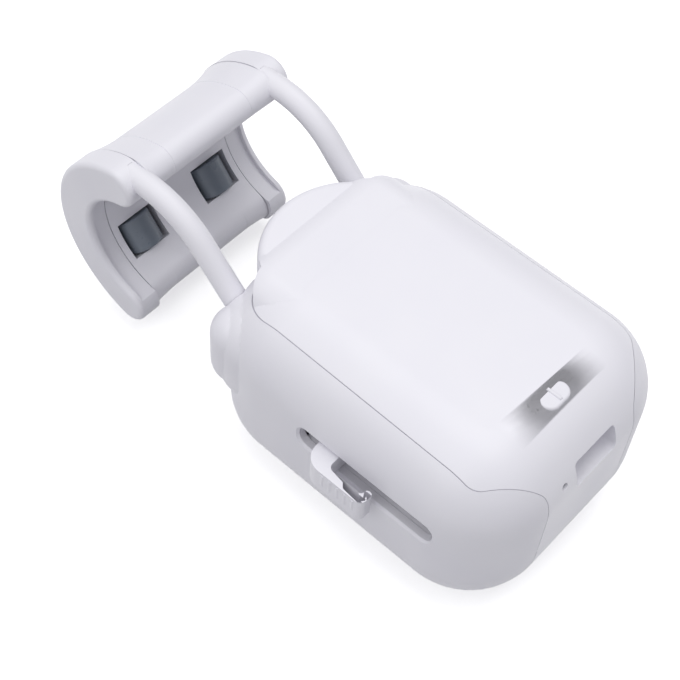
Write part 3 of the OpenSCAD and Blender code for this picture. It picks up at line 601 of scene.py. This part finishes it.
@dataclass
class Casing:
    """The motor unit's two shells: rear housing and front cover, split along a fine seam."""

    width: float = 60.0
    length: float = 76.0
    depth: float = 47.0
    plan_radius: float = 17.0
    front_radius: float = 15.5
    back_radius: float = 16.0
    wall: float = 2.0
    seam: float = 0.15
    cover_corners: tuple[tuple[float, float, float], ...] = (
        (23.4, 33.4, 9.0), (24.2, -27.2, 4.5), (13.4, -36.7, 2.5), (13.4, -42.0, 0.0))
    apron_low: float = 9.0
    dome_y: float = 22.6
    dome_radius: float = 19.5
    dome_low: float = 40.0
    dome_top: float = 45.6
    dome_edge: float = 1.8
    brow_half: float = 22.5
    brow_top: float = 46.9
    brow_plan: float = 8.0
    brow_edge: float = 7.0
    wheel_y: float = 28.8
    wheel_room: float = 15.3
    wheel_low: float = 20.2
    wheel_top: float = 37.0
    arm_x: float = 18.9
    arm_foot: tuple[float, float] = (32.92, 30.5)
    arm_hole: float = 2.9
    bulges: tuple[tuple[float, float, float, float, float], ...] = (
        (23.2, 32.2, 5.8, 19.0, 38.5), (19.6, 28.6, 9.6, 15.0, 41.0))
    slot_ends: tuple[float, float] = (-23.8, 9.8)
    slot_edges: tuple[float, float] = (25.1, 30.6)
    slot_chamfer: float = 0.5
    screw_place: tuple[float, float] = (16.4, -25.8)
    screw_room: float = 2.5
    screw_depth: float = 5.0
    switch_y: float = -26.1
    switch_recess: tuple[float, float] = (11.2, 5.2)
    recess_floor: float = 45.5
    stem_slot: tuple[float, float] = (7.0, 2.4)
    port_x: float = 1.4
    port_z: float = 35.8
    port_size: tuple[float, float] = (12.4, 6.3)
    port_floor: float = -33.2
    port_frame: float = 1.4
    socket_size: tuple[float, float] = (9.2, 3.5)
    reset_x: float = -8.4
    reset_z: float = 36.4
    reset_radius: float = 0.8

    def form(self, name: str, inset: float) -> Workpiece:
        """Model the pebble form of the unit.

        Args:
            name: Name of the object.
            inset: Distance inside the outer face.

        Returns:
            A closed solid.
        """
        half_w, half_l = self.width / 2 - inset, self.length / 2 - inset
        low, top = inset, self.depth - inset
        piece = Workpiece.block(name, (-half_w, -half_l, low), (half_w, half_l, top))
        piece.bevel(self.plan_radius - inset, 24, lambda a, b: abs(a.z - b.z) > 1)
        piece.bevel(self.front_radius - inset, 18, lambda a, b: min(a.z, b.z) > top - 0.01)
        piece.bevel(self.back_radius - inset, 12, lambda a, b: max(a.z, b.z) < low + 0.01)
        return piece.tidied()

    def cover_prism(self, grow: float) -> Workpiece:
        """Model the prism that parts the cover from the housing.

        Args:
            grow: Gap added all round.

        Returns:
            A closed solid.
        """
        top, low, apron, end = self.cover_corners
        right = [(top[0] + grow, top[1] + grow, top[2])]
        right += [(c[0] + grow, c[1], c[2]) for c in (low, apron, end)]
        corners = right + [(-x, y, r) for x, y, r in reversed(right)]
        return Workpiece.plate("cover_prism", rounded_outline(corners, 16), self.apron_low - grow, FAR)

    def shoulder(self, side: int) -> Workpiece:
        """Model the bulge beside an arm at the hook end.

        Args:
            side: 1 for the right, -1 for the left.

        Returns:
            Two capsules in one solid.
        """
        forms: list[Workpiece] = []
        for x, y, radius, low, top in self.bulges:
            rod = Workpiece.rod("shoulder", radius, (side * x, y, low), (side * x, y, top), 80)
            forms.append(rod.bevel(radius * 0.98, 14, lambda a, b: abs(a.z - b.z) < 0.01))
        return forms[0].combine(forms[1], Cut.JOIN)

    def slot_cutter(self, side: int) -> Workpiece:
        """Model the cutter of a side slot, wider at the mouth.

        Args:
            side: 1 for the right, -1 for the left.

        Returns:
            A closed solid.
        """
        (y0, y1), (z0, z1) = self.slot_ends, self.slot_edges
        outline = rounded_outline([(y1, z1, 2.4), (y0, z1, 2.4), (y0, z0, 2.4), (y1, z0, 2.4)], 8)
        inner = self.width / 2 - self.wall - 1.5
        piece = Workpiece.sheet("slot_cutter", [(side * inner, p[0], p[1]) for p in outline])
        piece.extrude((side * (self.width / 2 - self.slot_chamfer - inner), 0, 0))
        piece.activate()
        bpy.ops.object.mode_set(mode="EDIT")
        bpy.ops.mesh.extrude_region_move(
            TRANSFORM_OT_translate={"value": metres((side * 2 * self.slot_chamfer, 0, 0))})
        grow = [1, (y1 - y0 + 4 * self.slot_chamfer) / (y1 - y0), (z1 - z0 + 4 * self.slot_chamfer) / (z1 - z0)]
        middle = metres((0, (y0 + y1) / 2, (z0 + z1) / 2))
        bpy.ops.transform.resize(value=grow, center_override=middle)
        bpy.ops.object.mode_set(mode="OBJECT")
        return piece.tidied()

    def arm_tunnel(self, side: int) -> Workpiece:
        """Model the slanted hole for an arm."""
        y, z = self.arm_foot
        reach = 14.0
        return Workpiece.rod("arm_tunnel", self.arm_hole, (side * self.arm_x, y - 2, z - 2),
                             (side * self.arm_x, y + reach, z + reach))

    def seam_lip(self) -> Workpiece:
        """Model the thin lip under the seam, on which the cover sits.

        Returns:
            A closed band.
        """
        lip = self.form("seam_lip", 0.4)
        lip.combine(self.form("lip_hollow", 1.4))
        lip.combine(self.cover_prism(0.8), Cut.KEEP)
        return lip.combine(self.cover_prism(-0.6)).tidied()

    def build_housing(self) -> Workpiece:
        """Model the rear housing.

        Returns:
            The housing.
        """
        housing = self.form("rear_housing_form", 0.0)
        for side in SIDES.values():
            housing.combine(self.shoulder(side), Cut.JOIN)
        housing.combine(self.form("hollow", self.wall))
        housing.combine(self.cover_prism(self.seam))
        housing.combine(Workpiece.rod("wheel_room", self.wheel_room, (0, self.wheel_y, self.wheel_low),
                                      (0, self.wheel_y, FAR), 128))
        housing.combine(Workpiece.rod("dome_room", self.dome_radius + self.seam, (0, self.dome_y, self.wheel_top),
                                      (0, self.dome_y, FAR), 128))
        housing.combine(self.seam_lip(), Cut.JOIN)
        for side in SIDES.values():
            housing.combine(self.arm_tunnel(side))
            housing.combine(self.slot_cutter(side))
            x, y = side * self.screw_place[0], self.screw_place[1]
            housing.combine(Workpiece.rod("screw_room", self.screw_room, (x, y, -1), (x, y, self.screw_depth)))
        return housing.tidied()

    def stadium(self, name: str, size: tuple[float, float], low: float, high: float) -> Workpiece:
        """Model an oblong plate with round ends at the power slide.

        Args:
            name: Name of the object.
            size: Length and width.
            low: Height of the lower face.
            high: Height of the upper face.

        Returns:
            A closed solid.
        """
        return Workpiece.plate(name, oblong((0, self.switch_y), size), low, high)

    def port_block(self, name: str, size: tuple[float, float], grow: float, depth: tuple[float, float],
                   radius: float) -> Workpiece:
        """Model a rounded block at the charging recess.

        Args:
            name: Name of the object.
            size: Width and height.
            grow: Growth on every side.
            depth: First and last Y.
            radius: Radius of the corners.

        Returns:
            A closed solid.
        """
        half_w, half_h = size[0] / 2 + grow, size[1] / 2 + grow
        corners = [(self.port_x + x, self.port_z + z, radius) for x, z in
                   ((half_w, half_h), (-half_w, half_h), (-half_w, -half_h), (half_w, -half_h))]
        piece = Workpiece.sheet(name, [(p[0], depth[0], p[1]) for p in rounded_outline(corners, 8)])
        piece.extrude((0, depth[1] - depth[0], 0))
        return piece.tidied()

    def brow(self) -> Workpiece:
        """Model the fuller front edge over the dome, inside the cover's and the dome's outline.

        Returns:
            A closed solid.
        """
        end = self.length / 2
        brow = Workpiece.block("brow", (-self.brow_half, 0, self.brow_top - self.brow_edge - 1.2), (self.brow_half, end, self.brow_top))
        brow.bevel(self.brow_plan, 20, lambda a, b: abs(a.z - b.z) > 1 and a.y > 1)
        brow.bevel(self.brow_edge, 14, lambda a, b: min(a.z, b.z) > self.brow_top - 0.01 and max(a.y, b.y) > 0.1)
        brow.tidied()
        limit = self.cover_prism(-0.02)
        limit.combine(Workpiece.rod("dome_limit", self.dome_radius - 0.3, (0, self.dome_y, 0), (0, self.dome_y, FAR), 160),
                      Cut.JOIN)
        return brow.combine(limit, Cut.KEEP).tidied()

    def build_cover(self) -> Workpiece:
        """Model the front cover with its dome, power recess and charging recess.

        Returns:
            The cover.
        """
        cover = self.form("front_cover_form", 0.0)
        cover.combine(self.cover_prism(0.0), Cut.KEEP)
        dome = Workpiece.rod("dome", self.dome_radius, (0, self.dome_y, self.dome_low),
                             (0, self.dome_y, self.dome_top), 160)
        dome.bevel(self.dome_edge, 10, lambda a, b: min(a.z, b.z) > self.dome_top - 0.01)
        cover.combine(dome, Cut.JOIN)
        cover.combine(self.brow(), Cut.JOIN)
        cover.combine(self.form("hollow", self.wall))
        cover.combine(Workpiece.rod("dome_hollow", self.dome_radius - self.wall, (0, self.dome_y, self.dome_low - 1),
                                    (0, self.dome_y, self.dome_top - self.wall), 96))
        frame_block = self.port_block("port_frame", self.port_size, self.port_frame,
                                      (-self.length / 2, self.port_floor + 1.2), 1.6)
        frame_block.combine(self.form("skin", self.wall / 2), Cut.KEEP)
        cover.combine(frame_block, Cut.JOIN)
        cover.combine(self.port_block("port_recess", self.port_size, 0.0, (-FAR, self.port_floor), 1.0))
        cover.combine(self.port_block("socket_mouth", self.socket_size, 0.0,
                                      (-self.length / 2, self.port_floor + 3), 1.7))
        cover.combine(Workpiece.rod("reset_hole", self.reset_radius, (self.reset_x, -FAR, self.reset_z),
                                    (self.reset_x, 0, self.reset_z), 32))
        cover.combine(self.stadium("switch_recess", self.switch_recess, self.recess_floor, FAR))
        cover.combine(self.stadium("stem_slot", self.stem_slot, self.depth / 2, FAR))
        return cover.tidied()

    def build(self) -> None:
        """Build both shells."""
        stand_in(self.build_housing(), "rear_housing", "main_unit", "shell_white")
        stand_in(self.build_cover(), "front_cover", "main_unit", "cover_white")


@dataclass
class PowerSlide:
    """The oblong power slide in the front cover."""

    place_y: float = -26.1
    length: float = 7.2
    width: float = 4.6
    low: float = 45.7
    top: float = 46.8
    edge: float = 0.5
    ridge: tuple[float, float, float] = (0.7, 3.4, 0.35)
    stem: tuple[float, float, float] = (3.0, 1.8, 43.6)

    def build(self) -> None:
        """Build the slide."""
        outline = oblong((0, self.place_y), (self.length, self.width))
        knob = Workpiece.plate("power_knob_form", outline, self.low, self.top)
        knob.bevel(self.edge, 4, lambda a, b: min(a.z, b.z) > self.top - 0.01)
        rx, ry, rz = self.ridge
        ridge = Workpiece.block("ridge", (-rx / 2, self.place_y - ry / 2, self.top - 0.3),
                                (rx / 2, self.place_y + ry / 2, self.top + rz))
        ridge.bevel(0.25, 3, lambda a, b: min(a.z, b.z) > self.top)
        knob.combine(ridge, Cut.JOIN)
        sx, sy, sz = self.stem
        stem = Workpiece.block("stem", (-sx / 2, self.place_y - sy / 2, sz), (sx / 2, self.place_y + sy / 2, self.low + 0.3))
        knob.combine(stem, Cut.JOIN)
        stand_in(knob.tidied(), "power_knob", "power_slide", "shell_white")


@dataclass
class Arms:
    """The two flexible arms between the unit and the hook."""

    offset: float = 18.9
    radius: float = 2.6
    root: float = 3.3
    start: tuple[float, float] = (9.0, 27.87)
    inner_turn: tuple[float, float] = (26.56, 36.87)
    slant: tuple[float, float, float] = (0.0, 13.435, 13.435)
    outer_turn: tuple[float, float] = (60.5, 29.8)
    tip_y: float = 66.3
    foot: tuple[float, float] = (36.0, 33.6)
    neck: tuple[float, float] = (58.0, 49.6)
    sides: int = 32

    def model(self) -> Workpiece:
        """Sweep the right arm by extruding and spinning one round face.

        Returns:
            The right arm.
        """
        clear_selection()
        bpy.ops.mesh.primitive_circle_add(
            vertices=self.sides, radius=self.radius * MM, fill_type="NGON",
            location=metres((self.offset, *self.start)), rotation=(math.pi / 2, 0, 0))
        arm = Workpiece._added("arm_form")
        arm.edit_all()
        bpy.ops.mesh.extrude_region_move(
            TRANSFORM_OT_translate={"value": metres((0, self.inner_turn[0] - self.start[0], 0))})
        bpy.ops.mesh.spin(steps=8, angle=math.radians(-45), center=metres((self.offset, *self.inner_turn)), axis=(1, 0, 0))
        for _ in range(16):
            bpy.ops.mesh.extrude_region_move(TRANSFORM_OT_translate={"value": metres(self.slant) / 16})
        bpy.ops.mesh.spin(steps=14, angle=math.radians(45), center=metres((self.offset, *self.outer_turn)), axis=(1, 0, 0))
        bpy.ops.mesh.extrude_region_move(
            TRANSFORM_OT_translate={"value": metres((0, self.tip_y - self.outer_turn[0], 0))})
        bpy.ops.object.mode_set(mode="OBJECT")
        return arm.tidied()

    def build(self) -> None:
        """Build both arms, which reach from the unit to the hook."""
        for word, side in SIDES.items():
            arm = self.model().mirrored(side)
            obj = arm.smoothed(40)
            obj.name = f"arm_{word}_form"
            dress(obj, ARM_WHITE)
            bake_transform(obj)
            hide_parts(f"arm_{word}")
            LOG.info("%s: %d faces", obj.name, len(obj.data.polygons))


@dataclass
class Hook:
    """The hook round the rod: outer shell, liner with roller windows, end caps and rollers."""

    centre_y: float = 61.3
    centre_z: float = 29.0
    shell_half: float = 17.6
    body_radii: tuple[float, float] = (15.9, 23.2)
    mouth: tuple[float, float] = (-74.0, 78.0)
    waist: float = 11.0
    flare: float = 0.9
    groove: float = 0.12
    cap_x: tuple[float, float] = (17.8, 23.3)
    cap_radii: tuple[float, float] = (14.9, 24.2)
    cap_edge: float = 1.2
    tail_angle: float = -75.0
    rim_x: float = 21.8
    nose: tuple[float, float, float] = (66.9, 47.72, 4.65)
    arm_hole: tuple[float, float, float] = (18.9, 49.8, 2.6)
    arm_tip_y: float = 66.4
    roller_radius: float = 4.0
    roller_length: float = 7.6
    roller_x: float = 11.0
    roller_angle: float = 40.0
    roller_axis: float = 17.5
    window: tuple[float, float] = (10.0, 8.5)

    def lip_centre(self, angle: float) -> Vector:
        """Give the middle of a round lip at a mouth angle, in the YZ plane."""
        return arc_points((self.centre_y, self.centre_z), sum(self.body_radii) / 2, angle, angle, 1)[0]

    def body_outline(self) -> list[Vector]:
        """Draw the hook's C in the YZ plane: two arcs joined by round lips.

        Returns:
            Points of the closed outline.
        """
        centre = (self.centre_y, self.centre_z)
        low, high = self.body_radii
        bottom, top = self.mouth
        lip = (high - low) / 2
        outer = arc_points(centre, high, bottom, top, 84)
        front = arc_points(self.lip_centre(top), lip, top, top + 180, 24)[1:-1]
        inner = arc_points(centre, low, top, bottom, 84)
        rear = arc_points(self.lip_centre(bottom), lip, bottom + 180, bottom + 360, 24)[1:-1]
        return outer + front + inner + rear

    def swell(self, x: float) -> float:
        """Give how far the outer face stands out at a place along the rod: a groove, then the flare."""
        reach = abs(x) - self.waist
        if abs(reach) < 0.01:
            return -self.groove
        return self.flare * (max(reach, 0.0) / (self.shell_half - self.waist)) ** 1.6

    def flared(self, place: Vector) -> Vector:
        """Move a point of the straight C out to the flared C.

        Args:
            place: The point in millimetres.

        Returns:
            The moved point.
        """
        low, high = self.body_radii
        bottom, top = self.mouth
        rise = self.swell(place.x)
        arm = Vector((place.y - self.centre_y, place.z - self.centre_z))
        angle = math.degrees(math.atan2(arm.y, arm.x))
        if bottom <= angle <= top:
            if arm.length < (low + high) / 2:
                return place
            arm *= 1 + rise / arm.length
            return Vector((place.x, self.centre_y + arm.x, self.centre_z + arm.y))
        nearest = top if angle > 0 else bottom
        middle = self.lip_centre(nearest)
        offset = Vector((place.y, place.z)) - middle
        outward = (middle - Vector((self.centre_y, self.centre_z))).normalized()
        share = (1 + offset.normalized().dot(outward)) / 2
        offset *= 1 + rise * share / offset.length
        return Vector((place.x, middle.x + offset.x, middle.y + offset.y))

    def model_body(self) -> Workpiece:
        """Extrude the C along the rod in steps and flare its ends.

        Returns:
            A closed solid.
        """
        half = [0.0, 5.5, self.waist - 0.08, self.waist, self.waist + 0.08]
        half += [self.waist + (self.shell_half - self.waist) * i / 10 for i in range(1, 11)]
        stations = [-x for x in reversed(half[1:])] + half
        piece = Workpiece.sheet("hook_body", [(stations[0], p.x, p.y) for p in self.body_outline()])
        for start, stop in zip(stations, stations[1:]):
            piece.activate()
            bpy.ops.object.mode_set(mode="EDIT")
            piece.extrude((stop - start, 0, 0))
        for vertex in piece.obj.data.vertices:
            vertex.co = metres(self.flared(vertex.co / MM))
        return piece.tidied()

    def roller_place(self, side: int, front: int) -> Matrix:
        """Give the frame of a roller: its pin along Z, the rod's axis towards -Y."""
        turn = Matrix.Rotation(math.radians(front * self.roller_angle), 4, "X")
        return (Matrix.Translation(metres((0, self.centre_y, self.centre_z))) @ turn
                @ Matrix.Translation(metres((side * self.roller_x, self.roller_axis, 0))))

    def arm_bore(self, side: int) -> Workpiece:
        """Model the hole for an arm's tip."""
        x, z, radius = self.arm_hole
        return Workpiece.rod("arm_bore", radius, (side * x, 0, z), (side * x, self.arm_tip_y, z))

    def on_painted_shade_wall(self, place: Vector) -> bool:
        """Tell whether a point in millimetres lies on a wall of a roller's pocket; these walls get black nylon as
        painted shade.
        """
        width, length = self.window
        for side in SIDES.values():
            for front in (-1, 1):
                local = self.roller_place(side, front).inverted() @ metres(place) / MM
                inside = abs(local.x) < width / 2 + 0.02 and abs(local.z) < length / 2 + 0.02
                if inside and self.body_radii[0] - self.roller_axis + 0.4 < local.y < self.roller_radius + 0.6:
                    return True
        return False

    def build_body(self) -> None:
        """Build the C-shaped body, which stands for the shell and the liner, with its roller pockets, whose walls get
        black nylon as painted shade.
        """
        body = self.model_body()
        width, length = self.window
        for side in SIDES.values():
            body.combine(self.arm_bore(side))
            for front in (-1, 1):
                cutter = Workpiece.block("window", (-width / 2, -2 * self.roller_radius, -length / 2),
                                         (width / 2, self.roller_radius + 0.4, length / 2))
                cutter.obj.data.transform(self.roller_place(side, front))
                body.combine(cutter)
        obj = stand_in(body.tidied(), "hook_outer_shell", "hook", "shell_white", 35)
        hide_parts("hook_inner_liner")
        # Painted shade: the walls of the roller pockets get black nylon, for the dark gaps round the rollers.
        obj.data.materials.append(BLACK_NYLON_AND_POCKET_SHADE.material())
        for face in obj.data.polygons:
            if self.on_painted_shade_wall(face.center / MM):
                face.material_index = 1

    def cap_outline(self) -> list[Vector]:
        """Draw an end cap in the YZ plane: a half ring with a round nose at the front end.

        Returns:
            Points of the closed outline.
        """
        centre = (self.centre_y, self.centre_z)
        low, high = self.cap_radii
        tail = self.tail_angle
        tail_centre = arc_points(centre, (low + high) / 2, tail, tail, 1)[0]
        y, z, radius = self.nose
        lean = math.degrees(math.atan2(z - self.centre_z, y - self.centre_y))
        outer = arc_points(centre, high, tail, lean, 72)
        nose = arc_points((y, z), radius, lean, lean + 180, 28)[1:-1]
        inner = arc_points(centre, low, lean, tail, 60)
        end = arc_points(tail_centre, (high - low) / 2, tail + 180, tail + 360, 28)[1:-1]
        return outer + nose + inner + end

    def build_caps(self) -> None:
        """Build both end caps."""
        for word, side in SIDES.items():
            low, high = self.cap_x
            centre = (self.centre_y, self.centre_z)
            cap = Workpiece.sheet("hook_cap", [(low, p[0], p[1]) for p in self.cap_outline()])
            cap.extrude((high - low, 0, 0))
            cap.tidied()
            cap.bevel(self.cap_edge, 6, lambda a, b: min(a.x, b.x) > high - 0.01)
            cap.combine(self.arm_bore(1))
            cap.combine(Workpiece.rod("liner_seat", self.body_radii[0] + 0.05, (low - 1, *centre),
                                      (self.rim_x, *centre), 160))
            cap.mirrored(side)
            stand_in(cap.tidied(), f"hook_cap_{word}", "hook", "shell_white")

    def build_rollers(self) -> None:
        """Build the four rollers, chamfered at both ends."""
        for front_word, front in (("back", -1), ("front", 1)):
            for word, side in SIDES.items():
                half = self.roller_length / 2
                roller = Workpiece.rod("roller", self.roller_radius, (0, 0, -half), (0, 0, half), 72)
                roller.bevel(0.45, 3, lambda a, b: abs(a.z - b.z) < 0.01)
                roller.combine(Workpiece.rod("bore", 0.85, (0, 0, -FAR), (0, 0, FAR), 32))
                roller.obj.data.transform(self.roller_place(side, front))
                name = f"roller_{front_word}_{word}"
                stand_in(roller.tidied(), name, name, "roller_grey")

    def build(self) -> None:
        """Build the whole hook."""
        self.build_body()
        self.build_caps()
        self.build_rollers()


@dataclass
class Latches:
    """The thumb latches in the side slots."""

    stem_x: float = 21.4
    bar_x: float = 32.8
    out_x: float = 34.6
    ends: tuple[float, float] = (-10.5, 4.5)
    prong: float = 5.0
    low_prong: tuple[float, float] = (1.5, 1.6)
    height: tuple[float, float] = (25.45, 30.25)
    pawl: tuple[float, float, float, float] = (22.3, 23.9, 0.7, 2.5)
    pawl_low: float = 23.3
    ridges: int = 5
    ridge_pitch: float = 1.9
    ridge_height: float = 0.18
    grip_x: float = 31.6
    grip_drop: float = 1.4

    def model(self) -> Workpiece:
        """Model the right latch.

        Returns:
            The latch.
        """
        y0, y1 = self.ends
        stem = y1 - self.prong
        low_y, low_x = y0 + self.low_prong[0], self.bar_x - self.low_prong[1]
        corners = [(self.stem_x, stem, 0.0), (self.bar_x, stem, 1.4), (self.bar_x, low_y, 0.8),
                   (low_x, low_y, 0.6), (low_x, y0, 0.6), (self.out_x, y0, 1.6), (self.out_x, y1, 4.0),
                   (self.stem_x, y1, 0.0)]
        latch = Workpiece.plate("latch_form", rounded_outline(corners, 10), *self.height)
        grip = Workpiece.plate("grip", rounded_outline(corners, 10), self.height[0] - self.grip_drop, self.height[1])
        grip.combine(Workpiece.block("outside", (self.grip_x, -FAR, -FAR), (FAR, FAR, FAR)), Cut.KEEP)
        latch.combine(grip, Cut.JOIN)
        latch.tidied().softened(0.5, 60, 4)
        middle = (y0 + y1) / 2 - 1.5
        for i in range(self.ridges):
            y = middle + (i - (self.ridges - 1) / 2) * self.ridge_pitch
            x = self.out_x - 0.5 + self.ridge_height
            z0, z1 = self.height[0] + 0.7, self.height[1] - 0.7
            ridge = Workpiece.rod("ridge", 0.5, (x, y, z0), (x, y, z1), 20)
            latch.combine(ridge, Cut.JOIN)
        px0, px1, py0, py1 = self.pawl
        latch.combine(Workpiece.block("pawl", (px0, py0, self.pawl_low), (px1, py1, self.height[0] + 0.5)), Cut.JOIN)
        return latch.tidied()

    def build(self) -> None:
        """Build both latches."""
        for word, side in SIDES.items():
            name = f"latch_{word}"
            stand_in(self.model().mirrored(side), name, name, "shell_white")


@dataclass
class Springs:
    """The coil springs behind the latches, modelled at rest."""

    ends: tuple[float, float] = (19.08, 21.32)
    centre: tuple[float, float] = (2.0, 27.85)
    coil: float = 1.2
    wire: float = 0.24
    turns: int = 4

    def model(self) -> Workpiece:
        """Model the right spring as a row of wire turns.

        Returns:
            The spring.
        """
        first, last = self.ends[0] + self.wire, self.ends[1] - self.wire
        turns: list[Workpiece] = []
        for i in range(self.turns):
            clear_selection()
            x = first + (last - first) * i / (self.turns - 1)
            bpy.ops.mesh.primitive_torus_add(
                major_radius=self.coil * MM, minor_radius=self.wire * MM, major_segments=40, minor_segments=12,
                location=metres((x, *self.centre)), rotation=(0, math.pi / 2, 0))
            turns.append(Workpiece._added("latch_spring"))
        for turn in turns[1:]:
            turns[0].combine(turn, Cut.JOIN)
        return turns[0]

    def build(self) -> None:
        """Build both springs."""
        for word, side in SIDES.items():
            obj = self.model().mirrored(side).smoothed(40)
            obj.name = f"latch_spring_{word}_form"
            dress(obj, SLOT_FINISHES["steel"])
            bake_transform(obj)
            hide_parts(f"latch_spring_{word}")


@dataclass
class Studio:
    """Floor, soft light and camera."""

    camera_place: tuple[float, float, float] = (-148.8, -90.4, 278.6)
    right: tuple[float, float, float] = (0.6681, -0.7422, 0.0526)
    down: tuple[float, float, float] = (-0.5863, -0.5686, -0.577)
    lens: float = 80.43
    floor_half: float = 3.0
    key_place: tuple[float, float, float] = (0.2, 0.05, 1.05)
    key_power: float = 4.3
    fill_place: tuple[float, float, float] = (-0.75, 0.15, 0.8)
    fill_power: float = 2.4
    sky: float = 0.54
    floor_bounce: str = "#9A9A9E"
    floor_glow: float = 0.45

    def build_floor(self) -> None:
        """Lay a plain pale floor."""
        clear_selection()
        bpy.ops.mesh.primitive_plane_add(size=2 * self.floor_half)
        floor = Workpiece._added("floor").obj
        material = bpy.data.materials.new("painted_floor")
        material.use_nodes = True
        tree = material.node_tree
        tree.nodes.clear()
        place = add_node(tree, "ShaderNodeTexCoord").outputs["Object"]
        grain = add_node(tree, "ShaderNodeTexNoise", inputs={"Vector": place, "Scale": per_metre(2.0)}).outputs["Fac"]
        rough = add_node(tree, "ShaderNodeMapRange", inputs={
            "Value": grain, "To Min": 0.85, "To Max": 0.95}).outputs["Result"]
        light = add_node(tree, "ShaderNodeLightPath").outputs
        seen = light["Is Camera Ray"]
        for other in ("Is Glossy Ray", "Is Transmission Ray"):
            seen = add_node(tree, "ShaderNodeMath", {"operation": "MAXIMUM"}, {0: seen, 1: light[other]}).outputs[0]
        paint = add_node(tree, "ShaderNodeBsdfPrincipled", inputs={
            "Base Color": linear_rgb("#FFFFFF"), "Roughness": rough, "Specular IOR Level": 0.0,
            "Emission Color": linear_rgb("#FFFFFF"), "Emission Strength": self.floor_glow})
        bounce = add_node(tree, "ShaderNodeBsdfPrincipled", inputs={
            "Base Color": linear_rgb(self.floor_bounce), "Roughness": rough, "Specular IOR Level": 0.0})
        both = add_node(tree, "ShaderNodeMixShader", inputs={
            0: seen, 1: bounce.outputs["BSDF"], 2: paint.outputs["BSDF"]})
        add_node(tree, "ShaderNodeOutputMaterial", inputs={"Surface": both.outputs["Shader"]})
        floor.data.materials.append(material)

    def add_light(self, name: str, place: Point, power: float, size: float) -> None:
        """Hang a soft lamp that points at the object.

        Args:
            name: Name of the lamp.
            place: Where it hangs, in metres.
            power: Its power in watts.
            size: Its width in metres.
        """
        data = bpy.data.lights.new(name, "AREA")
        data.energy = power
        data.size = size
        lamp = bpy.data.objects.new(name, data)
        lamp.location = place
        lamp.rotation_euler = (Vector((0, 0.02, 0.02)) - Vector(place)).to_track_quat("-Z", "Y").to_euler()
        bpy.context.scene.collection.objects.link(lamp)

    def build_light(self) -> None:
        """Set the soft studio light."""
        world = bpy.data.worlds.new("studio")
        world.use_nodes = True
        background = world.node_tree.nodes["Background"]
        background.inputs["Color"].default_value = linear_rgb("#FBFBFF")
        background.inputs["Strength"].default_value = self.sky
        bpy.context.scene.world = world
        self.add_light("key_lamp", self.key_place, self.key_power, 0.9)
        self.add_light("fill_lamp", self.fill_place, self.fill_power, 0.8)

    def build_camera(self) -> None:
        """Set the camera at the photograph's viewing angle."""
        data = bpy.data.cameras.new("camera")
        data.lens = self.lens
        data.sensor_width = 36.0
        data.clip_start = 0.01
        camera = bpy.data.objects.new("camera", data)
        right, up = Vector(self.right), -Vector(self.down)
        back = right.cross(up)
        turn = Matrix((right, up, back)).transposed().to_4x4()
        camera.matrix_world = Matrix.Translation(metres(self.camera_place)) @ turn
        bpy.context.scene.collection.objects.link(camera)
        bpy.context.scene.camera = camera

    def build(self) -> None:
        """Build the studio."""
        self.build_camera()
        self.build_floor()
        self.build_light()
        bpy.context.scene.view_settings.view_transform = "Standard"


def dress_inner_works() -> None:
    """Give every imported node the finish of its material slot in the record."""
    for part in frame["record"]["subparts"]:
        obj = frame["nodes"][part["node"]]
        dress(obj, SLOT_FINISHES[part["material_slot"]])


def main() -> None:
    """Build the object and its studio."""
    logging.basicConfig(level=logging.INFO, format="%(message)s")
    dress_inner_works()
    for assembly in (Casing(), PowerSlide(), Arms(), Hook(), Latches(), Springs(), Studio()):
        LOG.info("building %s", type(assembly).__name__)
        assembly.build()


if __name__ == "__main__":
    main()
